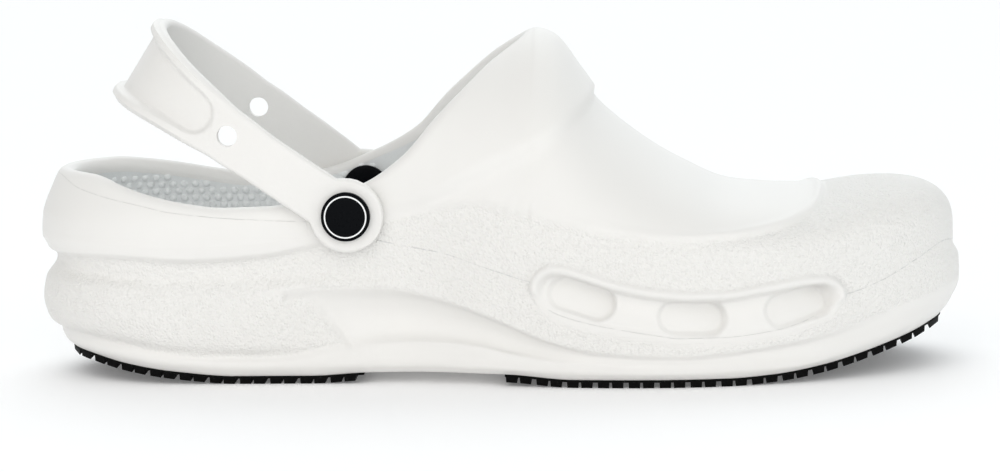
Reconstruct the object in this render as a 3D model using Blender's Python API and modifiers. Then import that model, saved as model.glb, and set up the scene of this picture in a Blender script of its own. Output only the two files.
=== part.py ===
# Chef clog, right foot: a moulded foam body with a swivelling heel strap on two rivets and
# black rubber treads. Metres, +Z up, +X to the toe, +Y to the medial side, floor at z = 0.
import bpy
import bmesh
import numpy as np
from math import cos, pi, radians, sin
from mathutils import Vector

# Driving sizes of the last and the body
LENGTH = 0.290
BALL_WIDTH = 0.112
COLLAR_HEIGHT = 0.106
HEEL_HEIGHT = 0.064
FOOTBED_HEIGHT = 0.024
WALL = 0.0048
RIM_WALL = 0.0062
RELIEF = 0.004
BAND_RISE = 0.0022
PANEL_RISE = 0.0009
VENT_DEPTH = 0.0022
BAND_SLOPE = 0.005
VENT_SLOPE = 0.002
GAP = 0.0003

# Treads: a plate with a row of lugs along its edge and a row of bars inside it
TREAD_THICKNESS = 0.0022
PLATE_THICKNESS = 0.0008
TREAD_INSET = 0.0012
LUG_PITCH = 0.008
LUG_GAP = 0.0022
LUG_DEPTH = 0.011
HEEL_TREAD_END = 0.357
FORE_TREAD_START = 0.508

# Heel strap and rivets
RIVET_X = 0.3435 * LENGTH
RIVET_Z = 0.50 * COLLAR_HEIGHT
RIVET_RADIUS = 0.0075
SHANK_RADIUS = 0.003
CAP_THICKNESS = 0.0022
BUTTON_THICKNESS = 0.002
BUTTON_ROOM = 0.0016
STRAP_TILT = radians(32.5)
STRAP_REACH = 0.083
STRAP_THICKNESS = 0.0036
STRAP_CORNER = 0.0008
STRAP_POWER = 2.6
STRAP_DISC = 0.0114
STRAP_NECK = 0.0160
STRAP_MIDDLE = 0.0172
STRAP_BACK = 0.0285
STRAP_LIFT = 0.0024
STRAP_TWIST = 0.0024
STRAP_HOLE = 0.0063
HOLE_REACH = 0.0438

# Outline of the sole from above: station along LENGTH, then the centre line and the half
# widths to its lateral and medial edge as shares of BALL_WIDTH
OUTLINE = [
    # station, centre, lateral, medial
    (0.00, 0.000, 0.360, 0.360),
    (0.15, 0.000, 0.372, 0.362),
    (0.30, -0.005, 0.365, 0.345),
    (0.40, -0.015, 0.370, 0.355),
    (0.50, -0.020, 0.420, 0.410),
    (0.60, -0.015, 0.475, 0.475),
    (0.70, 0.000, 0.500, 0.500),
    (0.80, 0.025, 0.495, 0.490),
    (0.90, 0.050, 0.465, 0.460),
    (1.00, 0.070, 0.430, 0.430),
]
# How the outline closes: the last stations and the power of each end's curve
HEEL_ROUND = 0.165
HEEL_POWER = 2.15
TOE_ROUND = 0.31
TOE_POWER = 2.40
# Sections fan out round each end: how far their start on the centre line moves in, and the
# share of the length over which it does
HEEL_FAN, HEEL_FAN_LENGTH = 0.103, 0.24
TOE_FAN, TOE_FAN_LENGTH = 0.097, 0.23

# Underside of the foam: station, height as a share of HEEL_HEIGHT
UNDERSIDE = [
    (0.00, 0.150),
    (0.05, 0.133),
    (0.10, 0.094),
    (0.155, 0.062),
    (0.22, 0.039),
    (0.30, 0.039),
    (0.36, 0.055),
    (0.44, 0.060),
    (0.51, 0.058),
    (0.58, 0.039),
    (0.745, 0.039),
    (0.79, 0.049),
    (0.845, 0.081),
    (0.88, 0.115),
    (0.916, 0.157),
    (0.942, 0.190),
    (0.971, 0.232),
    (1.00, 0.256),
]

# Footbed inside: station, height as a share of FOOTBED_HEIGHT
FOOTBED = [
    (0.00, 1.12),
    (0.10, 1.00),
    (0.35, 1.00),
    (0.48, 0.88),
    (0.60, 0.66),
    (0.72, 0.58),
    (0.84, 0.66),
    (0.93, 0.95),
    (1.00, 1.15),
]
FOOTBED_POWER = 2.8

# Side of the body: heights of its named lines as shares of HEEL_HEIGHT
SIDE_HEIGHT = [
    # station, lip, groove, low, middle, crest, notch, ledge, wall
    (0.000, 0.175, 0.225, 0.270, 0.375, 0.475, 0.555, 0.630, 0.685),
    (0.070, 0.155, 0.215, 0.260, 0.360, 0.470, 0.540, 0.620, 0.690),
    (0.155, 0.115, 0.165, 0.210, 0.320, 0.445, 0.525, 0.600, 0.675),
    (0.240, 0.095, 0.145, 0.190, 0.300, 0.445, 0.540, 0.620, 0.690),
    (0.330, 0.105, 0.190, 0.240, 0.330, 0.485, 0.560, 0.655, 0.735),
    (0.400, 0.110, 0.205, 0.265, 0.345, 0.475, 0.545, 0.625, 0.720),
    (0.480, 0.105, 0.190, 0.230, 0.285, 0.370, 0.445, 0.530, 0.655),
    (0.570, 0.085, 0.120, 0.145, 0.175, 0.225, 0.315, 0.440, 0.625),
    (0.690, 0.075, 0.098, 0.115, 0.135, 0.170, 0.270, 0.420, 0.625),
    (0.810, 0.090, 0.120, 0.145, 0.175, 0.225, 0.315, 0.455, 0.625),
    (0.900, 0.180, 0.215, 0.245, 0.280, 0.330, 0.410, 0.520, 0.655),
    (0.965, 0.262, 0.298, 0.332, 0.370, 0.420, 0.490, 0.575, 0.685),
    (1.000, 0.292, 0.328, 0.365, 0.405, 0.455, 0.520, 0.585, 0.660),
]

# Side of the body: how far each line lies inside the outline, as shares of RELIEF
SIDE_INSET = [
    # station, edge, lip, groove, low, middle, crest, notch, ledge, wall
    (0.000, 2.00, 1.45, 1.00, 0.25, -0.25, 0.00, 0.75, 0.45, 0.00),
    (0.070, 1.70, 0.90, 0.75, 0.15, -0.25, 0.00, 0.70, 0.25, 0.00),
    (0.155, 1.20, 0.50, 0.55, 0.10, -0.20, 0.10, 0.65, 0.20, 0.00),
    (0.240, 1.00, 0.35, 0.50, 0.12, -0.08, 0.08, 0.55, 0.20, 0.00),
    (0.330, 0.90, 0.20, 0.25, 0.45, 0.55, 0.00, 0.30, 0.12, 0.00),
    (0.400, 0.90, 0.20, 0.15, 0.80, 1.00, 0.05, 0.15, 0.10, 0.00),
    (0.480, 0.90, 0.20, 0.20, 0.65, 0.85, 0.05, 0.02, 0.05, 0.00),
    (0.570, 1.00, 0.40, 0.40, 0.55, 0.55, 0.10, 0.00, 0.05, 0.00),
    (0.690, 1.10, 0.50, 0.45, 0.45, 0.42, 0.15, 0.00, 0.00, 0.00),
    (0.810, 1.20, 0.60, 0.55, 0.52, 0.48, 0.15, 0.00, 0.05, 0.00),
    (0.900, 1.20, 0.60, 0.50, 0.42, 0.35, 0.12, 0.00, 0.12, 0.10),
    (0.965, 1.30, 0.65, 0.42, 0.20, 0.06, 0.02, -0.02, 0.25, 0.35),
    (1.000, 1.45, 0.80, 0.50, 0.18, 0.02, 0.00, 0.05, 0.50, 0.50),
]

# Line of the instep, which behind the collar runs on as a leg would: station, height as a
# share of COLLAR_HEIGHT, and the power of the section's curve
INSTEP = [
    # station, height, power
    (0.000, 0.720, 2.20),
    (0.200, 0.740, 2.20),
    (0.280, 0.900, 2.20),
    (0.345, 1.100, 2.20),
    (0.400, 1.040, 2.20),
    (0.450, 0.955, 2.15),
    (0.507, 0.965, 2.10),
    (0.541, 0.980, 2.10),
    (0.553, 0.970, 2.08),
    (0.583, 0.866, 2.05),
    (0.603, 0.793, 2.02),
    (0.645, 0.692, 2.00),
    (0.690, 0.610, 2.05),
    (0.755, 0.530, 2.20),
    (0.820, 0.514, 2.40),
    (0.885, 0.544, 2.70),
    (0.950, 0.558, 2.95),
    (1.000, 0.558, 2.95),
]
COLLAR_FRONT = 0.541

# Outer edge of the rim round the opening: station, lateral and medial height as shares of
# COLLAR_HEIGHT
RIM = [
    # station, lateral, medial
    (0.000, 0.600, 0.600),
    (0.050, 0.596, 0.602),
    (0.090, 0.566, 0.590),
    (0.130, 0.533, 0.572),
    (0.170, 0.507, 0.550),
    (0.210, 0.492, 0.530),
    (0.260, 0.496, 0.520),
    (0.310, 0.522, 0.548),
    (0.360, 0.565, 0.602),
    (0.410, 0.648, 0.672),
    (0.450, 0.762, 0.782),
    (0.505, 0.908, 0.916),
    (0.541, 0.980, 0.980),
]

# Rim wall: it is RIM_WALL thick up to the first of these stations and WALL thick after the second
RIM_WALL_STATIONS = (0.20, 0.34)

# Lower line of the raised band round the collar, as shares of COLLAR_HEIGHT, and the stations
# where the band starts, is whole, begins to end and ends
BAND_LINE = [
    # station, height
    (0.380, 0.500),
    (0.435, 0.550),
    (0.490, 0.625),
    (0.540, 0.675),
    (0.583, 0.785),
    (0.605, 0.890),
]
BAND_STATIONS = (0.37, 0.44, 0.594, 0.606)

# The same for the raised panel on the vamp
PANEL_LINE = [
    # station, height
    (0.400, 0.490),
    (0.480, 0.528),
    (0.590, 0.450),
    (0.700, 0.412),
    (0.795, 0.452),
    (0.845, 0.540),
]
PANEL_STATIONS = (0.38, 0.44, 0.835, 0.850)

# Vent recess in each side, between two stations: its middle height as a share of HEEL_HEIGHT
VENT_LINE = [
    # station, height
    (0.545, 0.490),
    (0.600, 0.430),
    (0.700, 0.375),
    (0.780, 0.385),
    (0.860, 0.460),
]
VENT_START = 0.548
VENT_END = 0.856
VENT_HALF_HEIGHT = 0.0085

# Width of the strap from the rivet to its back: share of STRAP_REACH, then the shares of
# STRAP_NECK, STRAP_MIDDLE and STRAP_BACK in the width there
STRAP_WIDTH = [
    # station, neck, middle, back
    (0.00, 1.00, 0.00, 0.00),
    (0.36, 1.00, 0.00, 0.00),
    (0.52, 0.00, 1.00, 0.00),
    (0.65, 0.00, 0.78, 0.22),
    (0.79, 0.00, 0.52, 0.48),
    (0.93, 0.00, 0.16, 0.84),
    (1.00, 0.00, 0.00, 1.00),
]

# Mesh density, with the stations at which the steps along the body change
HEEL_PART, SIDE_PART, VAMP_PART = 0.17, 0.48, 0.86
HEEL_STEPS, SIDE_STEPS, FRONT_STEPS, VAMP_STEPS, TOE_STEPS = 7, 7, 6, 18, 7
BOTTOM_ROWS, UPPER_ROWS, ROLL_ROWS, LINING_ROWS, FOOTBED_ROWS = 3, 8, 3, 6, 5
SIDE_ROWS = (0, 1, 2, 3, 4, 5, 6, 6.5, 7, 7.5, 8)
DISC_STEPS, STRAP_STEPS, ROUND_STEPS, TREAD_SAMPLES = 5, 32, 20, 400


def through(x, xs, ys):
    """Smooth curve through the points of a table, which never overshoots between two of them."""
    xs = np.asarray(xs, float)
    ys = np.asarray(ys, float)
    step = np.diff(xs).reshape((-1,) + (1,) * (ys.ndim - 1))
    slope = np.diff(ys, axis=0) / step
    before, after = slope[:-1], slope[1:]
    same = before * after > 0
    total = np.where(same, before + after, 1.0)
    rate = np.concatenate([slope[:1], np.where(same, 2 * before * after / total, 0.0), slope[-1:]])
    x = np.clip(x, xs[0], xs[-1])
    i = np.clip(np.searchsorted(xs, x, side="right") - 1, 0, len(xs) - 2)
    width = xs[i + 1] - xs[i]
    t = (x - xs[i]) / width
    return (
        ys[i] * (1 + 2 * t) * (1 - t) ** 2
        + ys[i + 1] * t**2 * (3 - 2 * t)
        + width * (rate[i] * t * (1 - t) ** 2 - rate[i + 1] * t**2 * (1 - t))
    )


def column(table, number, x):
    """One column of a table, read at stations x."""
    rows = np.array(table, float)
    return through(x, rows[:, 0], rows[:, number])


def ease(t):
    t = np.clip(t, 0, 1)
    return t * t * (3 - 2 * t)


def rounded_end(x):
    """Share of the half width that is left where the outline closes at the heel and the toe."""
    heel = np.clip(1 - x / HEEL_ROUND, 0, 1)
    toe = np.clip(1 - (1 - x) / TOE_ROUND, 0, 1)
    return (1 - heel**HEEL_POWER) ** (1 / HEEL_POWER) * (1 - toe**TOE_POWER) ** (1 / TOE_POWER)


def outline(x, side):
    """Point of the outline at station x: side is -1 for lateral and 1 for medial."""
    half = np.where(side < 0, column(OUTLINE, 2, x), column(OUTLINE, 3, x)) * rounded_end(x)
    y = (column(OUTLINE, 1, x) + side * half) * BALL_WIDTH
    return np.stack([x * LENGTH, y], axis=-1)


def spine(x):
    """Point of the centre line that the section through outline station x starts from."""
    inner = x + HEEL_FAN * np.clip(1 - x / HEEL_FAN_LENGTH, 0, 1) ** 2
    inner = inner - TOE_FAN * np.clip(1 - (1 - x) / TOE_FAN_LENGTH, 0, 1) ** 2
    return inner, np.stack([inner * LENGTH, column(OUTLINE, 1, inner) * BALL_WIDTH], axis=-1)


def underside(x):
    return column(UNDERSIDE, 1, x) * HEEL_HEIGHT


def stations():
    """Stations along the outline, closer together at the heel, the collar's front and the toe."""
    heel = HEEL_PART * (1 - np.cos(np.linspace(0, pi / 2, HEEL_STEPS + 1)))
    sides = np.linspace(HEEL_PART, SIDE_PART, SIDE_STEPS + 1)
    bend = np.sin(np.linspace(0, pi / 2, FRONT_STEPS + 1))
    front = SIDE_PART + (COLLAR_FRONT - SIDE_PART) * bend
    vamp = np.linspace(COLLAR_FRONT, VAMP_PART, VAMP_STEPS + 1)
    toe = VAMP_PART + (1 - VAMP_PART) * np.sin(np.linspace(0, pi / 2, TOE_STEPS + 1))
    joined = np.concatenate([heel, sides[1:], front[1:], vamp[1:], toe[1:]])
    return joined, HEEL_STEPS + SIDE_STEPS + FRONT_STEPS


def ring(x):
    """The stations once round the shoe, along the lateral side and back, and their sides."""
    whole = np.concatenate([x, x[-2:0:-1]])
    return whole, np.concatenate([-np.ones(len(x)), np.ones(len(x) - 2)])


def by_side(table, x, sides):
    return np.where(sides < 0, column(table, 1, x), column(table, 2, x))


def last_turn(x, sides):
    """How far each section curves over before it meets the rim: a quarter turn at the instep."""
    inner = spine(x)[0]
    wall = column(SIDE_HEIGHT, 8, x) * HEEL_HEIGHT
    top = column(INSTEP, 1, inner) * COLLAR_HEIGHT
    rim = by_side(RIM, x, sides) * COLLAR_HEIGHT
    part = np.where(inner < COLLAR_FRONT - 1e-9, (rim - wall) / (top - wall), 1.0)
    return np.arcsin(np.clip(part, 0, 1) ** (column(INSTEP, 2, inner) / 2))


def outer_surface(x, sides, last):
    """Points of the outer surface, from the centre of the underside up to the turn given."""
    inner, centre = spine(x)
    edge = outline(x, sides)
    reach = np.linalg.norm(edge - centre, axis=-1)
    rows = []
    edge_share = 1 - column(SIDE_INSET, 1, x) * RELIEF / reach
    for step in range(BOTTOM_ROWS):
        share = edge_share * step / BOTTOM_ROWS
        station = inner + (x - inner) * share
        rows.append((share, underside(station)))
    at_edge = inner + (x - inner) * edge_share
    heights = [underside(at_edge)] + [column(SIDE_HEIGHT, k, x) * HEEL_HEIGHT for k in range(1, 9)]
    insets = [column(SIDE_INSET, k, x) * RELIEF for k in range(1, 10)]
    knots = np.arange(9)
    for v in SIDE_ROWS:
        inset = through(v, knots, insets)
        rows.append((1 - inset / reach, through(v, knots, heights)))
    wall_share = 1 - insets[8] / reach
    wall_height = heights[8]
    top = column(INSTEP, 1, inner) * COLLAR_HEIGHT
    power = column(INSTEP, 2, inner)
    for step in range(1, UPPER_ROWS + 1):
        turn = last * step / UPPER_ROWS
        share = wall_share * np.clip(np.cos(turn), 0, 1) ** (2 / power)
        share = np.where(turn > pi / 2 - 1e-6, 0.0, share)
        rows.append((share, wall_height + (top - wall_height) * np.sin(turn) ** (2 / power)))
    points = []
    for share, height in rows:
        flat = centre + (edge - centre) * np.asarray(share)[:, None]
        points.append(np.column_stack([flat, height]))
    return np.stack(points, axis=1)


def outer_normals(x, sides, last, points):
    """Outward normals of the outer surface."""
    step = 1e-4
    ahead = outer_surface(np.clip(x + step, 0, 1), sides, last)
    behind = outer_surface(np.clip(x - step, 0, 1), sides, last)
    along = (behind - ahead) * sides[:, None, None]
    normal = np.cross(along, np.gradient(points, axis=1))
    inner = spine(x)[0]
    slope = (column(INSTEP, 1, inner + step) - column(INSTEP, 1, inner - step)) / (2 * step)
    slope = slope * COLLAR_HEIGHT / LENGTH
    upright = np.column_stack([-slope, 0 * slope, 1 + 0 * slope])
    closed = inner > COLLAR_FRONT - 1e-9
    normal[closed, -1] = upright[closed]
    return normal / np.maximum(np.linalg.norm(normal, axis=-1, keepdims=True), 1e-12)


def vent_mask(x, z):
    """1 inside the vent recess, 0 outside it, with a short slope between."""
    middle = column(VENT_LINE, 1, x) * HEEL_HEIGHT
    centre = (VENT_START + VENT_END) / 2
    half = (VENT_END - VENT_START) / 2
    along = np.clip(np.abs(x - centre) / half, 0, 1)
    height = VENT_HALF_HEIGHT * (1 - along**4) ** 0.5
    return ease((height - np.abs(z - middle)) / VENT_SLOPE) * (along < 1)


def raised(table, ends, x, z):
    """1 above the line of a raised field and between its end stations, 0 outside, with soft steps."""
    over = ease((z - column(table, 1, x) * COLLAR_HEIGHT) / BAND_SLOPE)
    starts = ease((x - ends[0]) / (ends[1] - ends[0]))
    return over * starts * ease((ends[3] - x) / (ends[3] - ends[2]))


def relief(x, z):
    """Height of the collar band, the vamp panel and the vents over the plain form."""
    band = raised(BAND_LINE, BAND_STATIONS, x, z)
    panel = raised(PANEL_LINE, PANEL_STATIONS, x, z)
    return BAND_RISE * band + PANEL_RISE * panel - VENT_DEPTH * vent_mask(x, z)


def body_grid():
    """Grid of points of the whole body and the number of the collar-front station."""
    x, front = stations()
    whole, sides = ring(x)
    centre = spine(whole)[1]
    last = last_turn(whole, sides)
    base = outer_surface(whole, sides, last)
    normal = outer_normals(whole, sides, last, base)
    top = base.shape[1] - 1
    outer = base.copy()
    first = BOTTOM_ROWS + 4
    shift = relief(base[:, first:, 0] / LENGTH, base[:, first:, 2])
    outer[:, first:] += normal[:, first:] * shift[..., None]
    # lining, from the rim down to the level of the wall line
    wall_row = BOTTOM_ROWS + len(SIDE_ROWS) - 1
    rim_start, rim_end = RIM_WALL_STATIONS
    thick = WALL + (RIM_WALL - WALL) * ease((rim_end - whole) / (rim_end - rim_start))
    shares = np.linspace(0, 1, LINING_ROWS + 1)
    level = top - shares * (top - wall_row)
    lining = []
    for value in level:
        low = int(np.floor(value))
        rest = value - low
        high = min(low + 1, top)
        point = base[:, low] * (1 - rest) + base[:, high] * rest
        out = normal[:, low] * (1 - rest) + normal[:, high] * rest
        out /= np.linalg.norm(out, axis=-1, keepdims=True)
        lining.append(point - out * thick[:, None])
    # roll of the rim, from the outer edge to the lining
    start, stop = outer[:, top], lining[0]
    tangent = np.roll(start, -1, axis=0) - np.roll(start, 1, axis=0)
    across = stop - start
    bulge = np.cross(tangent, across)
    bulge /= np.maximum(np.linalg.norm(bulge, axis=-1, keepdims=True), 1e-12)
    front_ids = (front, (len(whole) - front) % len(whole))
    for k in front_ids:
        bulge[k] = (-1, 0, 0)
    radius = np.linalg.norm(across, axis=-1, keepdims=True) / 2
    roll = []
    for step in range(1, ROLL_ROWS + 1):
        turn = pi * step / (ROLL_ROWS + 1)
        roll.append((start + stop) / 2 - across / 2 * cos(turn) + bulge * radius * sin(turn))
    # footbed, from the wall line in and down to its centre
    side_point = lining[-1]
    footbed = []
    for step in range(1, FOOTBED_ROWS + 1):
        turn = pi / 2 * step / FOOTBED_ROWS
        share = np.cos(turn) ** (2 / FOOTBED_POWER) if step < FOOTBED_ROWS else 0.0
        flat = centre + (side_point[:, :2] - centre) * share
        floor = column(FOOTBED, 1, flat[:, 0] / LENGTH) * FOOTBED_HEIGHT
        drop = sin(turn) ** (2 / FOOTBED_POWER)
        footbed.append(np.column_stack([flat, side_point[:, 2] * (1 - drop) + floor * drop]))
    grid = np.concatenate([outer, np.stack(roll + lining + footbed, axis=1)], axis=1)
    return grid, front, top


def material(name, colour, roughness):
    made = bpy.data.materials.new(name)
    made.use_nodes = True
    shader = made.node_tree.nodes["Principled BSDF"]
    shader.inputs["Base Color"].default_value = (*colour, 1)
    shader.inputs["Roughness"].default_value = roughness
    return made


def new_object(name, mesh, collection, made_of):
    built = bpy.data.objects.new(name, mesh)
    collection.objects.link(built)
    mesh.materials.append(made_of)
    return built


def mesh_from(name, points, faces):
    """Closed mesh of points and faces, with doubled points joined and faces turned outward."""
    mesh = bpy.data.meshes.new(name)
    mesh.from_pydata([tuple(point) for point in points], [], faces)
    shape = bmesh.new()
    shape.from_mesh(mesh)
    bmesh.ops.remove_doubles(shape, verts=shape.verts, dist=1e-6)
    bmesh.ops.recalc_face_normals(shape, faces=shape.faces)
    shape.to_mesh(mesh)
    shape.free()
    return mesh


def make_body(collection, made_of):
    grid, front, top = body_grid()
    count, rows = grid.shape[:2]
    faces = []
    for k in range(count):
        after = (k + 1) % count
        is_closed = front <= k < count - front
        for j in range(rows - 1):
            if is_closed and top <= j < top + ROLL_ROWS + 1:
                continue
            faces.append((k * rows + j, after * rows + j, after * rows + j + 1, k * rows + j + 1))
    mesh = mesh_from("clog_body", grid.reshape(-1, 3), faces)
    mesh.shade_smooth()
    low, high = grid.reshape(-1, 3).min(axis=0), grid.reshape(-1, 3).max(axis=0)
    return new_object("clog_body", mesh, collection, made_of), (low + high) / 2


def make_tread(name, start, end, collection, made_of):
    """Rubber plate under the foam between two stations, with its lugs pulled down from it."""
    at_heel, at_toe = start == 0, end == 1
    even = np.linspace(0, 1, TREAD_SAMPLES)
    dense = end * even**2 if at_heel else start + (end - start) * (1 - (1 - even) ** 2)
    line = outline(dense, -1)
    length = np.concatenate([[0], np.cumsum(np.linalg.norm(np.diff(line, axis=0), axis=1))])
    count = round((length[-1] - LUG_GAP / 2) / LUG_PITCH)
    pitch = (length[-1] - LUG_GAP / 2) / count
    offset = LUG_GAP / 2 if at_heel else 0.0
    marks = [0.0] if at_heel else []
    for lug in range(count):
        at = offset + lug * pitch
        marks += [at, at + pitch - LUG_GAP]
    marks.append(length[-1])
    x = np.interp(marks, length, dense)
    rows = 5
    shape = bmesh.new()
    for side in (-1, 1):
        inner, centre = spine(x)
        edge = outline(x, side)
        reach = np.linalg.norm(edge - centre, axis=-1)
        full = 1 - (column(SIDE_INSET, 1, x) * RELIEF + TREAD_INSET) / reach
        split = full - LUG_DEPTH / reach
        shares = [0 * full, split * 0.10, split - LUG_GAP / reach, split, full]
        layers = []
        for depth in (GAP, GAP + PLATE_THICKNESS):
            grid = []
            for share in shares:
                flat = centre + (edge - centre) * share[:, None]
                station = inner + (x - inner) * share
                height = underside(station) - depth
                grid.append([shape.verts.new((*a, h)) for a, h in zip(flat, height)])
            layers.append(grid)
        lugs = []
        last = len(x) - 1
        for k in range(last):
            for j in range(rows - 1):
                for layer, grid in enumerate(layers):
                    inner_edge, outer_edge = grid[j], grid[j + 1]
                    corners = (inner_edge[k], inner_edge[k + 1], outer_edge[k + 1], outer_edge[k])
                    face = shape.faces.new(corners)
                    if layer and j % 2 and k % 2 == at_heel:
                        lugs.append(face)
            upper, lower = layers[0][rows - 1], layers[1][rows - 1]
            shape.faces.new((upper[k], upper[k + 1], lower[k + 1], lower[k]))
        ends = ([] if at_heel else [0]) + ([] if at_toe else [last])
        for k in ends:
            for j in range(rows - 1):
                upper, lower = layers
                shape.faces.new((upper[j][k], upper[j + 1][k], lower[j + 1][k], lower[j][k]))
        pulled = bmesh.ops.extrude_discrete_faces(shape, faces=lugs)["faces"]
        for face in pulled:
            for vert in face.verts:
                vert.co.z -= TREAD_THICKNESS - PLATE_THICKNESS
    bmesh.ops.remove_doubles(shape, verts=shape.verts, dist=1e-6)
    bmesh.ops.recalc_face_normals(shape, faces=shape.faces)
    mesh = bpy.data.meshes.new(name)
    shape.to_mesh(mesh)
    shape.free()
    return new_object(name, mesh, collection, made_of)


def strap_seat(side):
    """Height of the strap's inner face over the centre plane where its disc lies on the body."""
    x = (RIVET_X + STRAP_DISC * np.linspace(-1, 1, 9)) / LENGTH
    return np.abs(outline(x, side)[:, 1]).max() + GAP


def strap_width(p):
    """Width of the strap's band at the distance p from the rivet's axis."""
    at = np.clip(p, 0, None) / STRAP_REACH
    widths = (STRAP_NECK, STRAP_MIDDLE, STRAP_BACK)
    band = sum(column(STRAP_WIDTH, k + 1, at) * width for k, width in enumerate(widths))
    disc = 2 * np.sqrt(np.clip(STRAP_DISC**2 - p**2, 0, None))
    return np.where(p < 0, disc, np.maximum(disc, band))


def strap_lift(p, medial):
    """How far the band's middle line lies over the line from the rivet, more so on the medial arm."""
    back = np.clip(p / STRAP_REACH, 0, 1)
    return STRAP_LIFT * back + STRAP_TWIST * np.sin(pi * back) * medial


def make_strap(collection, made_of):
    """U-shaped band: a disc at each rivet, arms, and a wider back round the heel."""
    lateral = strap_seat(-1) + STRAP_THICKNESS / 2
    medial = strap_seat(1) + STRAP_THICKNESS / 2
    reach = STRAP_REACH - STRAP_THICKNESS / 2
    ends = -STRAP_DISC * np.cos(np.linspace(0.12, pi / 2, DISC_STEPS + 1))[:-1]
    turn = np.linspace(0, pi, STRAP_STEPS + 1)
    bend = 2 / STRAP_POWER
    p = np.concatenate([ends, reach * np.sin(turn) ** bend, ends[::-1]])
    across = np.sign(np.cos(turn)) * np.abs(np.cos(turn)) ** bend
    share = np.concatenate([np.ones(DISC_STEPS), across, -np.ones(DISC_STEPS)])
    y = np.where(share > 0, -lateral * share, -medial * share)
    path = np.column_stack([p, y])
    along = np.gradient(path, axis=0)
    along /= np.linalg.norm(along, axis=1, keepdims=True)
    out = np.column_stack([along[:, 1], -along[:, 0]])
    half = strap_width(p) / 2
    lift = strap_lift(p, share < 0)
    tilt_along = np.array([-cos(STRAP_TILT), 0, sin(STRAP_TILT)])
    tilt_up = np.array([sin(STRAP_TILT), 0, cos(STRAP_TILT)])
    origin = np.array([RIVET_X, 0, RIVET_Z])
    thick = STRAP_THICKNESS / 2
    # corners of the band's section: side and edge, and which of the two is cut back
    section = [(1, -1, 0, 1), (1, 1, 0, 1), (1, 1, 1, 0), (-1, 1, 1, 0)]
    section += [(-1, 1, 0, 1), (-1, -1, 0, 1), (-1, -1, 1, 0), (1, -1, 1, 0)]
    points = []
    for k in range(len(p)):
        for face, edge, cut_face, cut_edge in section:
            depth = face * (thick - STRAP_CORNER * cut_face)
            rise = edge * (half[k] - STRAP_CORNER * cut_edge) + lift[k]
            flat = path[k] + out[k] * depth
            sideways = np.array([0, flat[1], 0])
            points.append(origin + tilt_along * flat[0] + sideways + tilt_up * rise)
    n = len(section)
    faces = [tuple(range(n)), tuple(range(len(points) - n, len(points)))]
    for k in range(len(p) - 1):
        for j in range(n):
            after = (j + 1) % n
            faces.append((k * n + j, k * n + after, (k + 1) * n + after, (k + 1) * n + j))
    mesh = mesh_from("heel_strap", points, faces)
    return new_object("heel_strap", mesh, collection, made_of)


def turned(name, profile, steps, collection, made_of):
    """Closed solid of revolution about Z from a profile of (radius, height), top to bottom."""
    mesh = bpy.data.meshes.new(name)
    mesh.from_pydata([(r, 0, z) for r, z in profile], [(k, k + 1) for k in range(len(profile) - 1)], [])
    built = new_object(name, mesh, collection, made_of)
    screw = built.modifiers.new("turn", "SCREW")
    screw.steps = screw.render_steps = steps
    screw.use_merge_vertices = True
    screw.merge_threshold = 1e-5
    screw.use_normal_calculate = True
    return built


def make_rivet(name, side, collection, made_of):
    """Cap outside the strap, shank through strap and wall, and button inside."""
    seat = strap_seat(side)
    face = seat + STRAP_THICKNESS + GAP
    back = seat - GAP - WALL - BUTTON_ROOM
    low = back - BUTTON_THICKNESS
    profile = [
        (0, face + CAP_THICKNESS),
        (RIVET_RADIUS * 0.80, face + CAP_THICKNESS * 0.93),
        (RIVET_RADIUS * 0.93, face + CAP_THICKNESS * 0.75),
        (RIVET_RADIUS, face + CAP_THICKNESS * 0.35),
        (RIVET_RADIUS, face),
        (SHANK_RADIUS, face),
        (SHANK_RADIUS, back),
        (RIVET_RADIUS, back),
        (RIVET_RADIUS, low + BUTTON_THICKNESS * 0.5),
        (RIVET_RADIUS * 0.85, low + BUTTON_THICKNESS * 0.12),
        (0, low),
    ]
    built = turned(name, profile, ROUND_STEPS, collection, made_of)
    built.location = (RIVET_X, 0, RIVET_Z)
    built.rotation_euler = (pi / 2 if side < 0 else -pi / 2, 0, 0)
    return built


def add_bore(name, start, end, radius, targets, cutters):
    """Round hole between two points, cut from the given objects."""
    start, end = Vector(start), Vector(end)
    mesh = bpy.data.meshes.new(name)
    shape = bmesh.new()
    length = (end - start).length
    sizes = {"radius1": radius, "radius2": radius, "depth": length}
    bmesh.ops.create_cone(shape, cap_ends=True, segments=ROUND_STEPS, **sizes)
    shape.to_mesh(mesh)
    shape.free()
    built = bpy.data.objects.new(name, mesh)
    cutters.objects.link(built)
    built.location = (start + end) / 2
    built.rotation_mode = "QUATERNION"
    built.rotation_quaternion = Vector((0, 0, 1)).rotation_difference(end - start)
    built.hide_render = True
    built.display_type = "WIRE"
    for target in targets:
        cut = target.modifiers.new(name, "BOOLEAN")
        cut.operation = "DIFFERENCE"
        cut.object = built
    return built


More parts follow.
